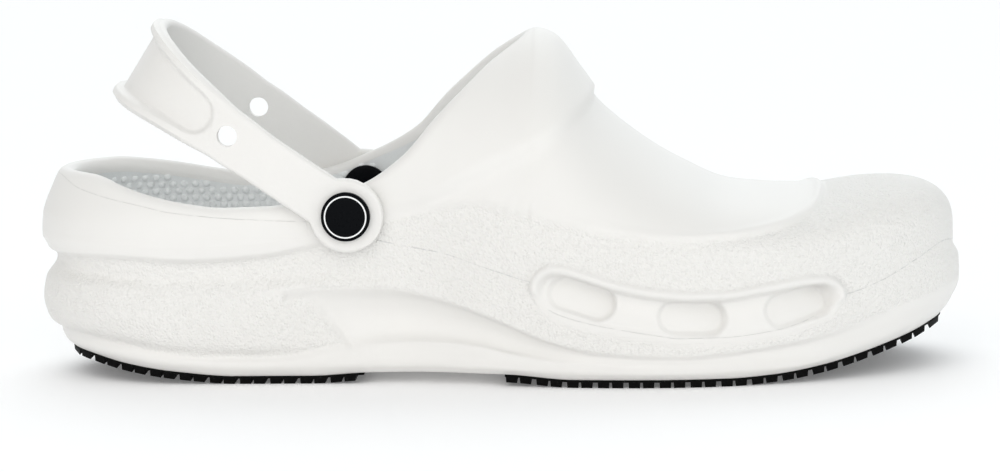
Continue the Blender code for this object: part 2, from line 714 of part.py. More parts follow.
def main():
    for old in list(bpy.data.objects):
        bpy.data.objects.remove(old)
    clog = bpy.data.collections.new("chef_clog")
    bpy.context.scene.collection.children.link(clog)
    foam = material("white_foam", (0.86, 0.86, 0.84), 0.5)
    rubber = material("black_rubber", (0.02, 0.02, 0.02), 0.7)
    plastic = material("black_plastic", (0.012, 0.014, 0.016), 0.25)
    cutters = bpy.data.collections.new("cutters")
    bpy.context.scene.collection.children.link(cutters)
    body, middle = make_body(clog, foam)
    make_tread("heel_tread", 0, HEEL_TREAD_END, clog, rubber)
    make_tread("forefoot_tread", FORE_TREAD_START, 1, clog, rubber)
    strap = make_strap(clog, foam)
    for name, side in (("lateral", -1), ("medial", 1)):
        make_rivet("rivet_" + name, side, clog, plastic)
        outer = side * (strap_seat(side) + 3 * STRAP_THICKNESS)
        inner = side * (strap_seat(side) - 3 * WALL)
        bore = ((RIVET_X, inner, RIVET_Z), (RIVET_X, outer, RIVET_Z))
        add_bore("bore_" + name, *bore, SHANK_RADIUS + GAP, (body, strap), cutters)
        rise = strap_lift(HOLE_REACH, side > 0)
        x = RIVET_X - cos(STRAP_TILT) * HOLE_REACH + sin(STRAP_TILT) * rise
        z = RIVET_Z + sin(STRAP_TILT) * HOLE_REACH + cos(STRAP_TILT) * rise
        hole = ((x, side * BALL_WIDTH / 4, z), (x, side * BALL_WIDTH / 2, z))
        add_bore("hole_" + name, *hole, STRAP_HOLE / 2, (strap,), cutters)
    # the origin lies under the middle of the body
    origin = bpy.data.objects.new("floor_middle", None)
    clog.objects.link(origin)
    for built in list(clog.objects) + list(cutters.objects):
        if built is not origin:
            built.parent = origin
    origin.location = (-middle[0], -middle[1], 0)


main()
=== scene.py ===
import math

import bmesh
import bpy
import numpy as np
from mathutils import Matrix, Vector


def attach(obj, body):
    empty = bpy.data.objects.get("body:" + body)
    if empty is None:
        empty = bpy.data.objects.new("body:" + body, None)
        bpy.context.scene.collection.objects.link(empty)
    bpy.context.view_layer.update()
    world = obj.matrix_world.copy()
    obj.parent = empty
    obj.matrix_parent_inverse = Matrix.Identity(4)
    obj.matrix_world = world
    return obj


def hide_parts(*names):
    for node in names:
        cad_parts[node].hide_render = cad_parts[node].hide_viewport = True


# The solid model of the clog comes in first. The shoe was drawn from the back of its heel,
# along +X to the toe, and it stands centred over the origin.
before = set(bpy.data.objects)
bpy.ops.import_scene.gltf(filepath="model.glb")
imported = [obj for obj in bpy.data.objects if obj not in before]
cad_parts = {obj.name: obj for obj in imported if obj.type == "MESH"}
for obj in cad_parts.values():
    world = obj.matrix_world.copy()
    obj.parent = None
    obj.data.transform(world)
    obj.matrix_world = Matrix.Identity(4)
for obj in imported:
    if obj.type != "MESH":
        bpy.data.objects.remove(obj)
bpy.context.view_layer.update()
MIDDLE = np.array([0.1445, 0.000134, 0.0])

# The camera stands about 1.15 m from the lateral side, a little ahead of the middle, and looks
# down at the shoe by seven degrees, as it was photographed. It is rolled by under a degree.


def placed(name, data):
    """New object in the scene that holds the data."""
    made = bpy.data.objects.new(name, data)
    bpy.context.scene.collection.objects.link(made)
    return made


CAMERA_PLACE = Vector((0.05035, -1.14188, 0.18319))
CAMERA_AIM = Vector((0.00002, -0.000134, 0.04069))
CAMERA_ROLL = math.radians(-0.9)
camera_data = bpy.data.cameras.new("studio_camera")
camera_data.sensor_width = 36
camera_data.lens = 130.6
camera_data.clip_start = 0.05
camera = placed("studio_camera", camera_data)
looking = (CAMERA_AIM - CAMERA_PLACE).to_track_quat("-Z", "Y").to_matrix()
looking = looking @ Matrix.Rotation(CAMERA_ROLL, 3, "Z")
camera.matrix_world = Matrix.Translation(CAMERA_PLACE) @ looking.to_4x4()
bpy.context.scene.camera = camera

# The shoe stands on a plain white studio floor inside a tent of soft white panels. The panels
# in front are the brightest, those behind throw its soft shadow forward, and one lamp hangs
# over it. Each panel is a smooth lobe of light round its own direction.


def new_material(name):
    """Material with nodes, and its shader."""
    made = bpy.data.materials.new(name)
    made.use_nodes = True
    return made, made.node_tree.nodes["Principled BSDF"]


floor_mesh = bpy.data.meshes.new("studio_floor")
FLOOR_HALF, FLOOR_HEIGHT = 6.0, -0.00005
floor_corners = ((-1, -1), (1, -1), (1, 1), (-1, 1))
floor_points = [(FLOOR_HALF * a, FLOOR_HALF * b, FLOOR_HEIGHT) for a, b in floor_corners]
floor_mesh.from_pydata(floor_points, [], [(0, 1, 2, 3)])
studio_floor = placed("studio_floor", floor_mesh)
floor_white, floor_shader = new_material("floor_white")
floor_shader.inputs["Base Color"].default_value = (0.90, 0.90, 0.905, 1)
floor_shader.inputs["Emission Color"].default_value = (1.0, 1.0, 1.0, 1)
floor_shader.inputs["Emission Strength"].default_value = 0.125
floor_shader.inputs["Roughness"].default_value = 0.9
floor_shader.inputs["Specular IOR Level"].default_value = 0.1
floor_mesh.materials.append(floor_white)

bpy.context.scene.view_settings.view_transform = "Standard"
sky = bpy.data.worlds.new("studio_sky")
bpy.context.scene.world = sky
sky.use_nodes = True
sky_nodes, sky_links = sky.node_tree.nodes, sky.node_tree.links
sky_place = sky_nodes.new("ShaderNodeTexCoord").outputs["Generated"]
sky_nodes["Background"].inputs["Strength"].default_value = 1.0
sky_total = None
WARM_PANEL, COOL_PANEL = (1.0, 0.99, 0.97), (0.95, 0.985, 1.0)
TENT_GLOW = 0.04
for panel_x, panel_y, panel_z, strength, narrowness, tint in (
    # direction from the shoe, strength, narrowness, tint
    (0.0, -1.0, 0.10, 1.95, 3.0, WARM_PANEL),
    (-1.0, -0.3, 0.15, 0.70, 3.0, WARM_PANEL),
    (1.0, -0.3, 0.15, 1.10, 3.0, COOL_PANEL),
    (0.0, 1.0, 0.25, 1.20, 3.0, COOL_PANEL),
    (0.0, 0.6, 0.80, 1.70, 6.0, COOL_PANEL),
):
    toward = sky_nodes.new("ShaderNodeVectorMath")
    toward.operation = "DOT_PRODUCT"
    toward.inputs[1].default_value = Vector((panel_x, panel_y, panel_z)).normalized()
    sky_links.new(sky_place, toward.inputs[0])
    value = toward.outputs["Value"]
    for operation, amount in (("MAXIMUM", 0.0), ("POWER", narrowness)):
        shaping = sky_nodes.new("ShaderNodeMath")
        shaping.operation = operation
        shaping.inputs[1].default_value = amount
        sky_links.new(value, shaping.inputs[0])
        value = shaping.outputs[0]
    glow = sky_nodes.new("ShaderNodeVectorMath")
    glow.operation = "SCALE"
    glow.inputs[0].default_value = [strength * part for part in tint]
    sky_links.new(value, glow.inputs["Scale"])
    joined = sky_nodes.new("ShaderNodeVectorMath")
    joined.operation = "ADD"
    joined.inputs[1].default_value = (TENT_GLOW, TENT_GLOW, TENT_GLOW)
    sky_links.new(glow.outputs[0], joined.inputs[0])
    if sky_total is not None:
        sky_links.new(sky_total, joined.inputs[1])
    sky_total = joined.outputs[0]
sky_links.new(sky_total, sky_nodes["Background"].inputs["Color"])
lamp_data = bpy.data.lights.new("lamp_over", "AREA")
lamp_data.size = 0.7
lamp_data.energy = 1.3
lamp_over = placed("lamp_over", lamp_data)
lamp_over.location = (-0.35, -0.75, 1.0)
lamp_over.rotation_euler = Vector((0.35, 0.75, -0.95)).to_track_quat("-Z", "Y").to_euler()

# The body is one closed foam moulding: sole, side walls, instep and the rim of the opening.
# White foam is shot into a mould of two halves, which leaves a fine parting line along the
# side, a raised band round the collar, a smooth raised panel on the instep and a blind vent.
LENGTH = 0.290
BALL_WIDTH = 0.112
COLLAR_HEIGHT = 0.106
HEEL_HEIGHT = 0.064
FOOTBED_HEIGHT = 0.024
WALL = 0.0048
RIM_WALL = 0.0062
RELIEF = 0.004
# outline of the sole: station along LENGTH, then shares of BALL_WIDTH
OUTLINE = [
    # station, centre, lateral half, medial half
    (0.00, 0.000, 0.360, 0.360),
    (0.15, 0.000, 0.372, 0.362),
    (0.30, -0.005, 0.365, 0.345),
    (0.40, -0.015, 0.370, 0.355),
    (0.50, -0.020, 0.420, 0.410),
    (0.60, -0.015, 0.475, 0.475),
    (0.70, 0.000, 0.500, 0.500),
    (0.80, 0.025, 0.495, 0.490),
    (0.90, 0.050, 0.465, 0.460),
    (1.00, 0.070, 0.430, 0.430),
]
HEEL_ROUND, HEEL_POWER = 0.165, 2.15
TOE_ROUND, TOE_POWER = 0.31, 2.40
HEEL_FAN, HEEL_FAN_LENGTH = 0.103, 0.24
TOE_FAN, TOE_FAN_LENGTH = 0.097, 0.23
# underside: station, share of HEEL_HEIGHT
UNDERSIDE = [
    (0.00, 0.150),
    (0.05, 0.133),
    (0.10, 0.094),
    (0.155, 0.062),
    (0.22, 0.039),
    (0.30, 0.039),
    (0.36, 0.055),
    (0.44, 0.060),
    (0.51, 0.058),
    (0.58, 0.039),
    (0.745, 0.039),
    (0.79, 0.049),
    (0.845, 0.081),
    (0.88, 0.115),
    (0.916, 0.157),
    (0.942, 0.190),
    (0.971, 0.232),
    (1.00, 0.256),
]
# footbed: station, share of FOOTBED_HEIGHT
FOOTBED = [
    (0.00, 1.12),
    (0.10, 1.00),
    (0.35, 1.00),
    (0.48, 0.88),
    (0.60, 0.66),
    (0.72, 0.58),
    (0.84, 0.66),
    (0.93, 0.95),
    (1.00, 1.15),
]
FOOTBED_POWER = 2.8
# lines moulded along the side, as shares of HEEL_HEIGHT
SIDE_HEIGHT = [
    # station, lip, groove, low, middle, crest, notch, ledge, wall
    (0.000, 0.175, 0.225, 0.270, 0.375, 0.475, 0.555, 0.630, 0.685),
    (0.070, 0.155, 0.215, 0.260, 0.360, 0.470, 0.540, 0.620, 0.690),
    (0.155, 0.115, 0.165, 0.210, 0.320, 0.445, 0.525, 0.600, 0.675),
    (0.240, 0.095, 0.145, 0.190, 0.300, 0.445, 0.540, 0.620, 0.690),
    (0.330, 0.105, 0.190, 0.240, 0.330, 0.485, 0.560, 0.655, 0.735),
    (0.400, 0.110, 0.205, 0.265, 0.345, 0.475, 0.545, 0.625, 0.720),
    (0.480, 0.105, 0.190, 0.230, 0.285, 0.370, 0.445, 0.530, 0.655),
    (0.570, 0.085, 0.120, 0.145, 0.175, 0.225, 0.315, 0.440, 0.625),
    (0.690, 0.075, 0.098, 0.115, 0.135, 0.170, 0.270, 0.420, 0.625),
    (0.810, 0.090, 0.120, 0.145, 0.175, 0.225, 0.315, 0.455, 0.625),
    (0.900, 0.180, 0.215, 0.245, 0.280, 0.330, 0.410, 0.520, 0.655),
    (0.965, 0.262, 0.298, 0.332, 0.370, 0.420, 0.490, 0.575, 0.685),
    (1.000, 0.292, 0.328, 0.365, 0.405, 0.455, 0.520, 0.585, 0.660),
]
# how far each line lies inside the outline, as shares of RELIEF
SIDE_INSET = [
    # station, edge, lip, groove, low, middle, crest, notch, ledge, wall
    (0.000, 2.00, 1.45, 1.00, 0.25, -0.25, 0.00, 0.75, 0.45, 0.00),
    (0.070, 1.70, 0.90, 0.75, 0.15, -0.25, 0.00, 0.70, 0.25, 0.00),
    (0.155, 1.20, 0.50, 0.55, 0.10, -0.20, 0.10, 0.65, 0.20, 0.00),
    (0.240, 1.00, 0.35, 0.50, 0.12, -0.08, 0.08, 0.55, 0.20, 0.00),
    (0.330, 0.90, 0.20, 0.25, 0.45, 0.55, 0.00, 0.30, 0.12, 0.00),
    (0.400, 0.90, 0.20, 0.15, 0.80, 1.00, 0.05, 0.15, 0.10, 0.00),
    (0.480, 0.90, 0.20, 0.20, 0.65, 0.85, 0.05, 0.02, 0.05, 0.00),
    (0.570, 1.00, 0.40, 0.40, 0.55, 0.55, 0.10, 0.00, 0.05, 0.00),
    (0.690, 1.10, 0.50, 0.45, 0.45, 0.42, 0.15, 0.00, 0.00, 0.00),
    (0.810, 1.20, 0.60, 0.55, 0.52, 0.48, 0.15, 0.00, 0.05, 0.00),
    (0.900, 1.20, 0.60, 0.50, 0.42, 0.35, 0.12, 0.00, 0.12, 0.10),
    (0.965, 1.30, 0.65, 0.42, 0.20, 0.06, 0.02, -0.02, 0.25, 0.35),
    (1.000, 1.45, 0.80, 0.50, 0.18, 0.02, 0.00, 0.05, 0.50, 0.50),
]
# line of the instep: station, share of COLLAR_HEIGHT, power of the section's curve
INSTEP = [
    (0.000, 0.720, 2.20),
    (0.200, 0.740, 2.20),
    (0.280, 0.900, 2.20),
    (0.345, 1.100, 2.20),
    (0.400, 1.040, 2.20),
    (0.450, 0.955, 2.15),
    (0.507, 0.965, 2.10),
    (0.541, 0.980, 2.10),
    (0.553, 0.970, 2.08),
    (0.583, 0.866, 2.05),
    (0.603, 0.793, 2.02),
    (0.645, 0.692, 2.00),
    (0.690, 0.610, 2.05),
    (0.755, 0.530, 2.20),
    (0.820, 0.514, 2.40),
    (0.885, 0.544, 2.70),
    (0.950, 0.558, 2.95),
    (1.000, 0.558, 2.95),
]
COLLAR_FRONT = 0.541
# rim of the opening: station, lateral and medial share of COLLAR_HEIGHT
RIM = [
    (0.000, 0.600, 0.600),
    (0.050, 0.596, 0.602),
    (0.090, 0.566, 0.590),
    (0.130, 0.533, 0.572),
    (0.170, 0.507, 0.550),
    (0.210, 0.492, 0.530),
    (0.260, 0.496, 0.520),
    (0.310, 0.522, 0.548),
    (0.360, 0.565, 0.602),
    (0.410, 0.648, 0.672),
    (0.450, 0.762, 0.782),
    (0.505, 0.908, 0.916),
    (0.541, 0.980, 0.980),
]
RIM_WALL_STATIONS = (0.20, 0.34)
BOTTOM_ROWS, SIDE_STEPS, UPPER_ROWS, ROLL_ROWS = 5, 76, 40, 7
# named line of the side, and the row of the grid that lies on it
SIDE_ROWS = [(0, 0), (5, 24), (6, 34), (7, 52), (8, 76)]
LINING_ROWS, FOOTBED_ROWS = 14, 12


def through(x, xs, ys):
    """Smooth curve through the points of a table, which never overshoots between two of them."""
    xs = np.asarray(xs, float)
    ys = np.asarray(ys, float)
    step = np.diff(xs).reshape((-1,) + (1,) * (ys.ndim - 1))
    slope = np.diff(ys, axis=0) / step
    before, after = slope[:-1], slope[1:]
    same = before * after > 0
    total = np.where(same, before + after, 1.0)
    rate = np.concatenate([slope[:1], np.where(same, 2 * before * after / total, 0.0), slope[-1:]])
    x = np.clip(x, xs[0], xs[-1])
    i = np.clip(np.searchsorted(xs, x, side="right") - 1, 0, len(xs) - 2)
    width = xs[i + 1] - xs[i]
    t = (x - xs[i]) / width
    return (
        ys[i] * (1 + 2 * t) * (1 - t) ** 2
        + ys[i + 1] * t**2 * (3 - 2 * t)
        + width * (rate[i] * t * (1 - t) ** 2 - rate[i + 1] * t**2 * (1 - t))
    )


def column(table, number, x):
    """Value at x in the numbered column of a table whose first column is x."""
    rows = np.array(table, float)
    return through(x, rows[:, 0], rows[:, number])


def ease(t):
    """Smooth step from 0 at t = 0 to 1 at t = 1."""
    t = np.clip(t, 0, 1)
    return t * t * (3 - 2 * t)


def outline(x, side):
    """Edge of the sole at station x, on the lateral (-1) or medial (1) side."""
    heel = np.clip(1 - x / HEEL_ROUND, 0, 1)
    toe = np.clip(1 - (1 - x) / TOE_ROUND, 0, 1)
    closing = (1 - heel**HEEL_POWER) ** (1 / HEEL_POWER) * (1 - toe**TOE_POWER) ** (1 / TOE_POWER)
    half = np.where(side < 0, column(OUTLINE, 2, x), column(OUTLINE, 3, x)) * closing
    y = (column(OUTLINE, 1, x) + side * half) * BALL_WIDTH
    return np.stack([x * LENGTH, y], axis=-1)


def spine(x):
    """Point of the centre line that the section through outline station x starts from."""
    inner = x + HEEL_FAN * np.clip(1 - x / HEEL_FAN_LENGTH, 0, 1) ** 2
    inner = inner - TOE_FAN * np.clip(1 - (1 - x) / TOE_FAN_LENGTH, 0, 1) ** 2
    return inner, np.stack([inner * LENGTH, column(OUTLINE, 1, inner) * BALL_WIDTH], axis=-1)


def outer_surface(x, sides, last):
    """Plain outer form, in rows from the middle of the underside up to the rim or the instep."""
    inner, centre = spine(x)
    edge = outline(x, sides)
    reach = np.linalg.norm(edge - centre, axis=-1)
    rows = []
    edge_share = 1 - column(SIDE_INSET, 1, x) * RELIEF / reach
    for step in range(BOTTOM_ROWS):
        share = edge_share * step / BOTTOM_ROWS
        rows.append((share, column(UNDERSIDE, 1, inner + (x - inner) * share) * HEEL_HEIGHT))
    foot = column(UNDERSIDE, 1, inner + (x - inner) * edge_share) * HEEL_HEIGHT
    heights = [foot] + [column(SIDE_HEIGHT, k, x) * HEEL_HEIGHT for k in range(1, 9)]
    insets = [column(SIDE_INSET, k, x) * RELIEF for k in range(1, 10)]
    knots = np.arange(9)
    spaced = np.interp(np.arange(SIDE_STEPS + 1), [k for _, k in SIDE_ROWS], [v for v, _ in SIDE_ROWS])
    for v in spaced:
        rows.append((1 - through(v, knots, insets) / reach, through(v, knots, heights)))
    wall_share = 1 - insets[8] / reach
    top = column(INSTEP, 1, inner) * COLLAR_HEIGHT
    power = column(INSTEP, 2, inner)
    for step in range(1, UPPER_ROWS + 1):
        turn = last * step / UPPER_ROWS
        share = wall_share * np.clip(np.cos(turn), 0, 1) ** (2 / power)
        share = np.where(turn > np.pi / 2 - 1e-6, 0.0, share)
        rows.append((share, heights[8] + (top - heights[8]) * np.sin(turn) ** (2 / power)))
    points = []
    for share, height in rows:
        flat = centre + (edge - centre) * np.asarray(share)[:, None]
        points.append(np.column_stack([flat, height]))
    return np.stack(points, axis=1)


def spread(parts):
    """Stations from a list of (start, end, steps), joined end to end."""
    joined = [parts[0][0]]
    for start, end, steps in parts:
        joined += list(np.linspace(start, end, steps + 1)[1:])
    return np.array(joined)


# stations crowd at the heel, at the toe and along the vent
heel_part = 0.17 * (1 - np.cos(np.linspace(0, np.pi / 2, 46)))
toe_part = 0.865 + 0.135 * np.sin(np.linspace(0, np.pi / 2, 62))
middle_part = spread([(0.17, 0.50, 84), (0.50, COLLAR_FRONT, 20), (COLLAR_FRONT, 0.865, 148)])
stations = np.concatenate([heel_part, middle_part[1:], toe_part[1:]])
front = int(np.argmin(np.abs(stations - COLLAR_FRONT)))
ring = np.concatenate([stations, stations[-2:0:-1]])
sides = np.concatenate([-np.ones(len(stations)), np.ones(len(stations) - 2)])
count = len(ring)

ring_inner, ring_centre = spine(ring)
wall_height = column(SIDE_HEIGHT, 8, ring) * HEEL_HEIGHT
instep_height = column(INSTEP, 1, ring_inner) * COLLAR_HEIGHT
rim_height = np.where(sides < 0, column(RIM, 1, ring), column(RIM, 2, ring)) * COLLAR_HEIGHT
closed = ring_inner > COLLAR_FRONT - 1e-9
curl = np.where(closed, 1.0, (rim_height - wall_height) / (instep_height - wall_height))
last_turn = np.arcsin(np.clip(curl, 0, 1) ** (column(INSTEP, 2, ring_inner) / 2))

plain = outer_surface(ring, sides, last_turn)
ahead = outer_surface(np.clip(ring + 1e-4, 0, 1), sides, last_turn)
behind = outer_surface(np.clip(ring - 1e-4, 0, 1), sides, last_turn)
normal = np.cross((behind - ahead) * sides[:, None, None], np.gradient(plain, axis=1))
ridge = column(INSTEP, 1, ring_inner + 1e-4) - column(INSTEP, 1, ring_inner - 1e-4)
ridge = ridge / 2e-4 * COLLAR_HEIGHT / LENGTH
normal[closed, -1] = np.column_stack([-ridge, 0 * ridge, 1 + 0 * ridge])[closed]
normal /= np.maximum(np.linalg.norm(normal, axis=-1, keepdims=True), 1e-12)
top = plain.shape[1] - 1

# lines of the relief in metres from the heel and the floor
BAND_LINE = [
    # along, height
    (0.1085, 0.0535),
    (0.1265, 0.0581),
    (0.1423, 0.0661),
    (0.1558, 0.0718),
    (0.1694, 0.0814),
    (0.1739, 0.0861),
    (0.1765, 0.0945),
]
BAND_RISE, BAND_SOFT = 0.0022, 0.0055
PANEL_LINE = [
    # along, height
    (0.1140, 0.0513),
    (0.1280, 0.0548),
    (0.1394, 0.0561),
    (0.1529, 0.0533),
    (0.1711, 0.0490),
    (0.1859, 0.0469),
    (0.2030, 0.0452),
    (0.2161, 0.0456),
    (0.2311, 0.0476),
    (0.2419, 0.0513),
    (0.2473, 0.0560),
]
PANEL_RISE, PANEL_SOFT = 0.0009, 0.0011
CREST_RISE, CREST_AWAY, CREST_HALF = 0.0005, 0.0010, 0.0008
PARTING_LINE = [
    # along, height
    (0.1030, 0.0462),
    (0.1222, 0.0424),
    (0.1281, 0.0414),
    (0.1419, 0.0370),
    (0.1575, 0.0324),
    (0.2000, 0.0240),
    (0.2505, 0.0268),
    (0.2625, 0.0300),
    (0.2749, 0.0356),
    (0.2843, 0.0395),
    (0.2900, 0.0375),
]
SWOOSH_LINE = [
    # along, height
    (0.0640, 0.0282),
    (0.0905, 0.0305),
    (0.1102, 0.0303),
    (0.1297, 0.0268),
    (0.1454, 0.0214),
    (0.1609, 0.0152),
    (0.1785, 0.0114),
    (0.2036, 0.0108),
    (0.2230, 0.0122),
    (0.2464, 0.0156),
    (0.2667, 0.0208),
    (0.2900, 0.0270),
]
POD_FRONT = [
    # height, along
    (0.0080, 0.1010),
    (0.0128, 0.0978),
    (0.0164, 0.0950),
    (0.0218, 0.0905),
    (0.0266, 0.0845),
    (0.0280, 0.0760),
    (0.0290, 0.0680),
]
LEDGE_LINE = [
    # along, height
    (0.0000, 0.0388),
    (0.0270, 0.0397),
    (0.0510, 0.0386),
    (0.0710, 0.0397),
    (0.0850, 0.0421),
    (0.1000, 0.0470),
]
LEDGE_RISE = 0.0009
LIP_LINE = [
    # along, height
    (0.0000, 0.0160),
    (0.0070, 0.0147),
    (0.0141, 0.0141),
    (0.0323, 0.0116),
    (0.0430, 0.0099),
    (0.0549, 0.0088),
    (0.0741, 0.0088),
    (0.0978, 0.0128),
]
RIM_LINE = [
    # along, height
    (0.0000, 0.0640),
    (0.0069, 0.0635),
    (0.0140, 0.0606),
    (0.0236, 0.0582),
    (0.0353, 0.0559),
    (0.0443, 0.0539),
    (0.0539, 0.0527),
    (0.0632, 0.0519),
    (0.0900, 0.0508),
]
# upper and lower edge of the vent's sunk field, the bead over it, and its three cups
VENT_TOP = [
    # along, height
    (0.1570, 0.0352),
    (0.1640, 0.0352),
    (0.1720, 0.0334),
    (0.1805, 0.0306),
    (0.1944, 0.0279),
    (0.2050, 0.0270),
    (0.2135, 0.0271),
    (0.2290, 0.0290),
    (0.2400, 0.0304),
    (0.2500, 0.0300),
]
VENT_BOTTOM = [
    # along, height
    (0.1570, 0.0270),
    (0.1644, 0.0232),
    (0.1747, 0.0203),
    (0.1838, 0.0186),
    (0.1925, 0.0172),
    (0.2013, 0.0160),
    (0.2134, 0.0160),
    (0.2307, 0.0177),
    (0.2445, 0.0216),
    (0.2500, 0.0240),
]
VENT_START, VENT_END, VENT_CORNER = 0.1585, 0.2490, 0.0046
VENT_DEPTH = 0.0020
BEAD_RISE, BEAD_HALF, BEAD_AWAY = 0.0014, 0.0016, 0.0016
CUPS = [
    # along, height, tilt in degrees
    (0.1711, 0.0279, -17.0),
    (0.2048, 0.0219, -3.0),
    (0.2375, 0.0243, 14.0),
]
CUP_LENGTH, CUP_HEIGHT, CUP_DEPTH = 0.0215, 0.0106, 0.0028
ARCH_LINE = [
    # along, height
    (0.0960, 0.0092),
    (0.1136, 0.0129),
    (0.1275, 0.0136),
    (0.1415, 0.0122),
    (0.1500, 0.0100),
]
SCOOP_DEPTH, RIDGE_RISE, ARCH_RISE, LINE_HALF = 0.0015, 0.0005, 0.0007, 0.0016
# where a form begins and ends along the shoe, each with the length over which it fades
BAND_SPAN = (0.104, 0.022, 0.1768, 0.0045)
PANEL_SPAN = (0.118, 0.016, 0.2478, 0.0016)
ARCH_SPAN = (0.094, 0.014, 0.156, 0.018)


def line_at(line, x):
    """Height of a line of the relief at a distance along the shoe."""
    table = np.array(line, float)
    return through(x, table[:, 0], table[:, 1])


def groove(distance, half_width, depth):
    """Rounded groove along distance 0."""
    return -depth * np.exp(-((distance / half_width) ** 2))


def vent_field(x, z):
    """Distance in metres inside the edge of the vent's sunk field, which has round ends."""
    level = np.minimum(line_at(VENT_TOP, x) - z, z - line_at(VENT_BOTTOM, x))
    along = np.minimum(x - VENT_START, VENT_END - x)
    over = np.clip(VENT_CORNER - level, 0, None)
    past = np.clip(VENT_CORNER - along, 0, None)
    return VENT_CORNER - np.hypot(over, past)


def cup_field(x, z, cup):
    """Distance in metres inside the edge of one cup, which is a slot with round ends."""
    along, height, tilt = cup
    turn = math.radians(tilt)
    u = (x - along) * math.cos(turn) + (z - height) * math.sin(turn)
    w = -(x - along) * math.sin(turn) + (z - height) * math.cos(turn)
    past = np.clip(np.abs(u) - (CUP_LENGTH - CUP_HEIGHT) / 2, 0, None)
    return CUP_HEIGHT / 2 - np.hypot(past, w)


def span(x, start, start_fade, end, end_fade):
    """1 between two places along the shoe, easing to 0 before the first and past the second."""
    return ease((x - start) / start_fade) * ease((end - x) / end_fade)


def relief(x, z):
    """Height of all moulded lines and fields over the plain form."""
    band = ease((z - line_at(BAND_LINE, x)) / BAND_SOFT + 0.5) * span(x, *BAND_SPAN)
    over_panel = z - line_at(PANEL_LINE, x)
    panel = ease(over_panel / PANEL_SOFT + 0.5)
    crest = np.exp(-(((over_panel - CREST_AWAY) / CREST_HALF) ** 2))
    rise = BAND_RISE * band
    rise = rise + (PANEL_RISE * panel + CREST_RISE * crest) * span(x, *PANEL_SPAN)
    # vent: a field sunk deepest along its top, three deeper cups, and a bead over and round it
    inside = vent_field(x, z)
    middle = (line_at(VENT_TOP, x) + line_at(VENT_BOTTOM, x)) / 2
    upper = ease((z - middle + 0.004) / 0.008)
    rise = rise - VENT_DEPTH * ease(inside / 0.0011 + 0.2) * (0.22 + 0.78 * upper)
    bead = np.clip(1 - ((inside + BEAD_AWAY) / BEAD_HALF) ** 2, 0, 1) ** 0.8
    rise = rise + BEAD_RISE * bead * ease((z - middle + 0.0035) / 0.003)
    ends = ease((0.1612 - x) / 0.0030) + ease((x - 0.2468) / 0.0025)
    rise = rise + groove(inside + 0.0038, 0.0007, 0.0006) * ends * ease((z - 0.0245) / 0.003)
    for cup in CUPS:
        # the flat floor of a cup lies deepest at its toe end, because the side curves away there
        slant = 0.85 + 0.40 * np.clip((x - cup[0]) / 0.0105, -1, 1)
        slant = slant + 0.20 * np.clip((z - cup[1]) / 0.0050, -1, 1)
        rise = rise - CUP_DEPTH * slant * ease(cup_field(x, z, cup) / 0.0011 + 0.1)
    # hollow under the long ridge, in front of the heel's raised field
    below = line_at(SWOOSH_LINE, x) - z
    beside = x - line_at(POD_FRONT, z)
    scoop = ease(below / 0.0024) * ease(beside / 0.0015)
    scoop = scoop * ease((z - 0.0080) / 0.0050) * ease((0.272 - x) / 0.07)
    rise = rise - SCOOP_DEPTH * scoop
    ridge_line = np.exp(-((below / LINE_HALF) ** 2))
    ridge_line = ridge_line * ease(beside / 0.006) * ease((0.270 - x) / 0.05)
    rise = rise + RIDGE_RISE * ridge_line
    arch = np.exp(-(((z - line_at(ARCH_LINE, x)) / LINE_HALF) ** 2))
    rise = rise + ARCH_RISE * arch * span(x, *ARCH_SPAN)
    heel = ease((0.104 - x) / 0.010)
    rise = rise + groove(z - line_at(LIP_LINE, x), 0.0010, 0.0009) * heel
    over_ledge = z - line_at(LEDGE_LINE, x)
    quarter = ease((0.106 - x) / 0.026)
    rise = rise + LEDGE_RISE * ease(over_ledge / 0.0024 + 0.35) * quarter * ease((0.060 - z) / 0.01)
    rise = rise + groove(over_ledge + 0.0016, 0.0019, 0.0009) * quarter
    return rise


first = BOTTOM_ROWS + 4
x_at, z_at = plain[..., 0], plain[..., 2]
outer = plain.copy()
outer[:, first:] += normal[:, first:] * relief(x_at, z_at)[:, first:, None]

# lining: rows set in from the outer form by the wall, from the rim down to the footbed's edge
wall_row = BOTTOM_ROWS + SIDE_STEPS
rim_start, rim_end = RIM_WALL_STATIONS
thick = WALL + (RIM_WALL - WALL) * ease((rim_end - ring) / (rim_end - rim_start))
lining = []
for share in np.linspace(0, 1, LINING_ROWS + 1):
    level = top - share * (top - wall_row)
    low = int(np.floor(level))
    rest = level - low
    high = min(low + 1, top)
    point = plain[:, low] * (1 - rest) + plain[:, high] * rest
    out = normal[:, low] * (1 - rest) + normal[:, high] * rest
    out /= np.linalg.norm(out, axis=-1, keepdims=True)
    lining.append(point - out * thick[:, None])
# the rim rolls over from the outer form to the lining in a half round
start, stop = outer[:, top], lining[0]
across = stop - start
bulge = np.cross(np.roll(start, -1, axis=0) - np.roll(start, 1, axis=0), across)
bulge /= np.maximum(np.linalg.norm(bulge, axis=-1, keepdims=True), 1e-12)
for k in (front, (count - front) % count):
    bulge[k] = (-1, 0, 0)
radius = np.linalg.norm(across, axis=-1, keepdims=True) / 2
roll = []
for step in range(1, ROLL_ROWS + 1):
    turn = math.pi * step / (ROLL_ROWS + 1)
    roll.append((start + stop) / 2 - across / 2 * math.cos(turn) + bulge * radius * math.sin(turn))
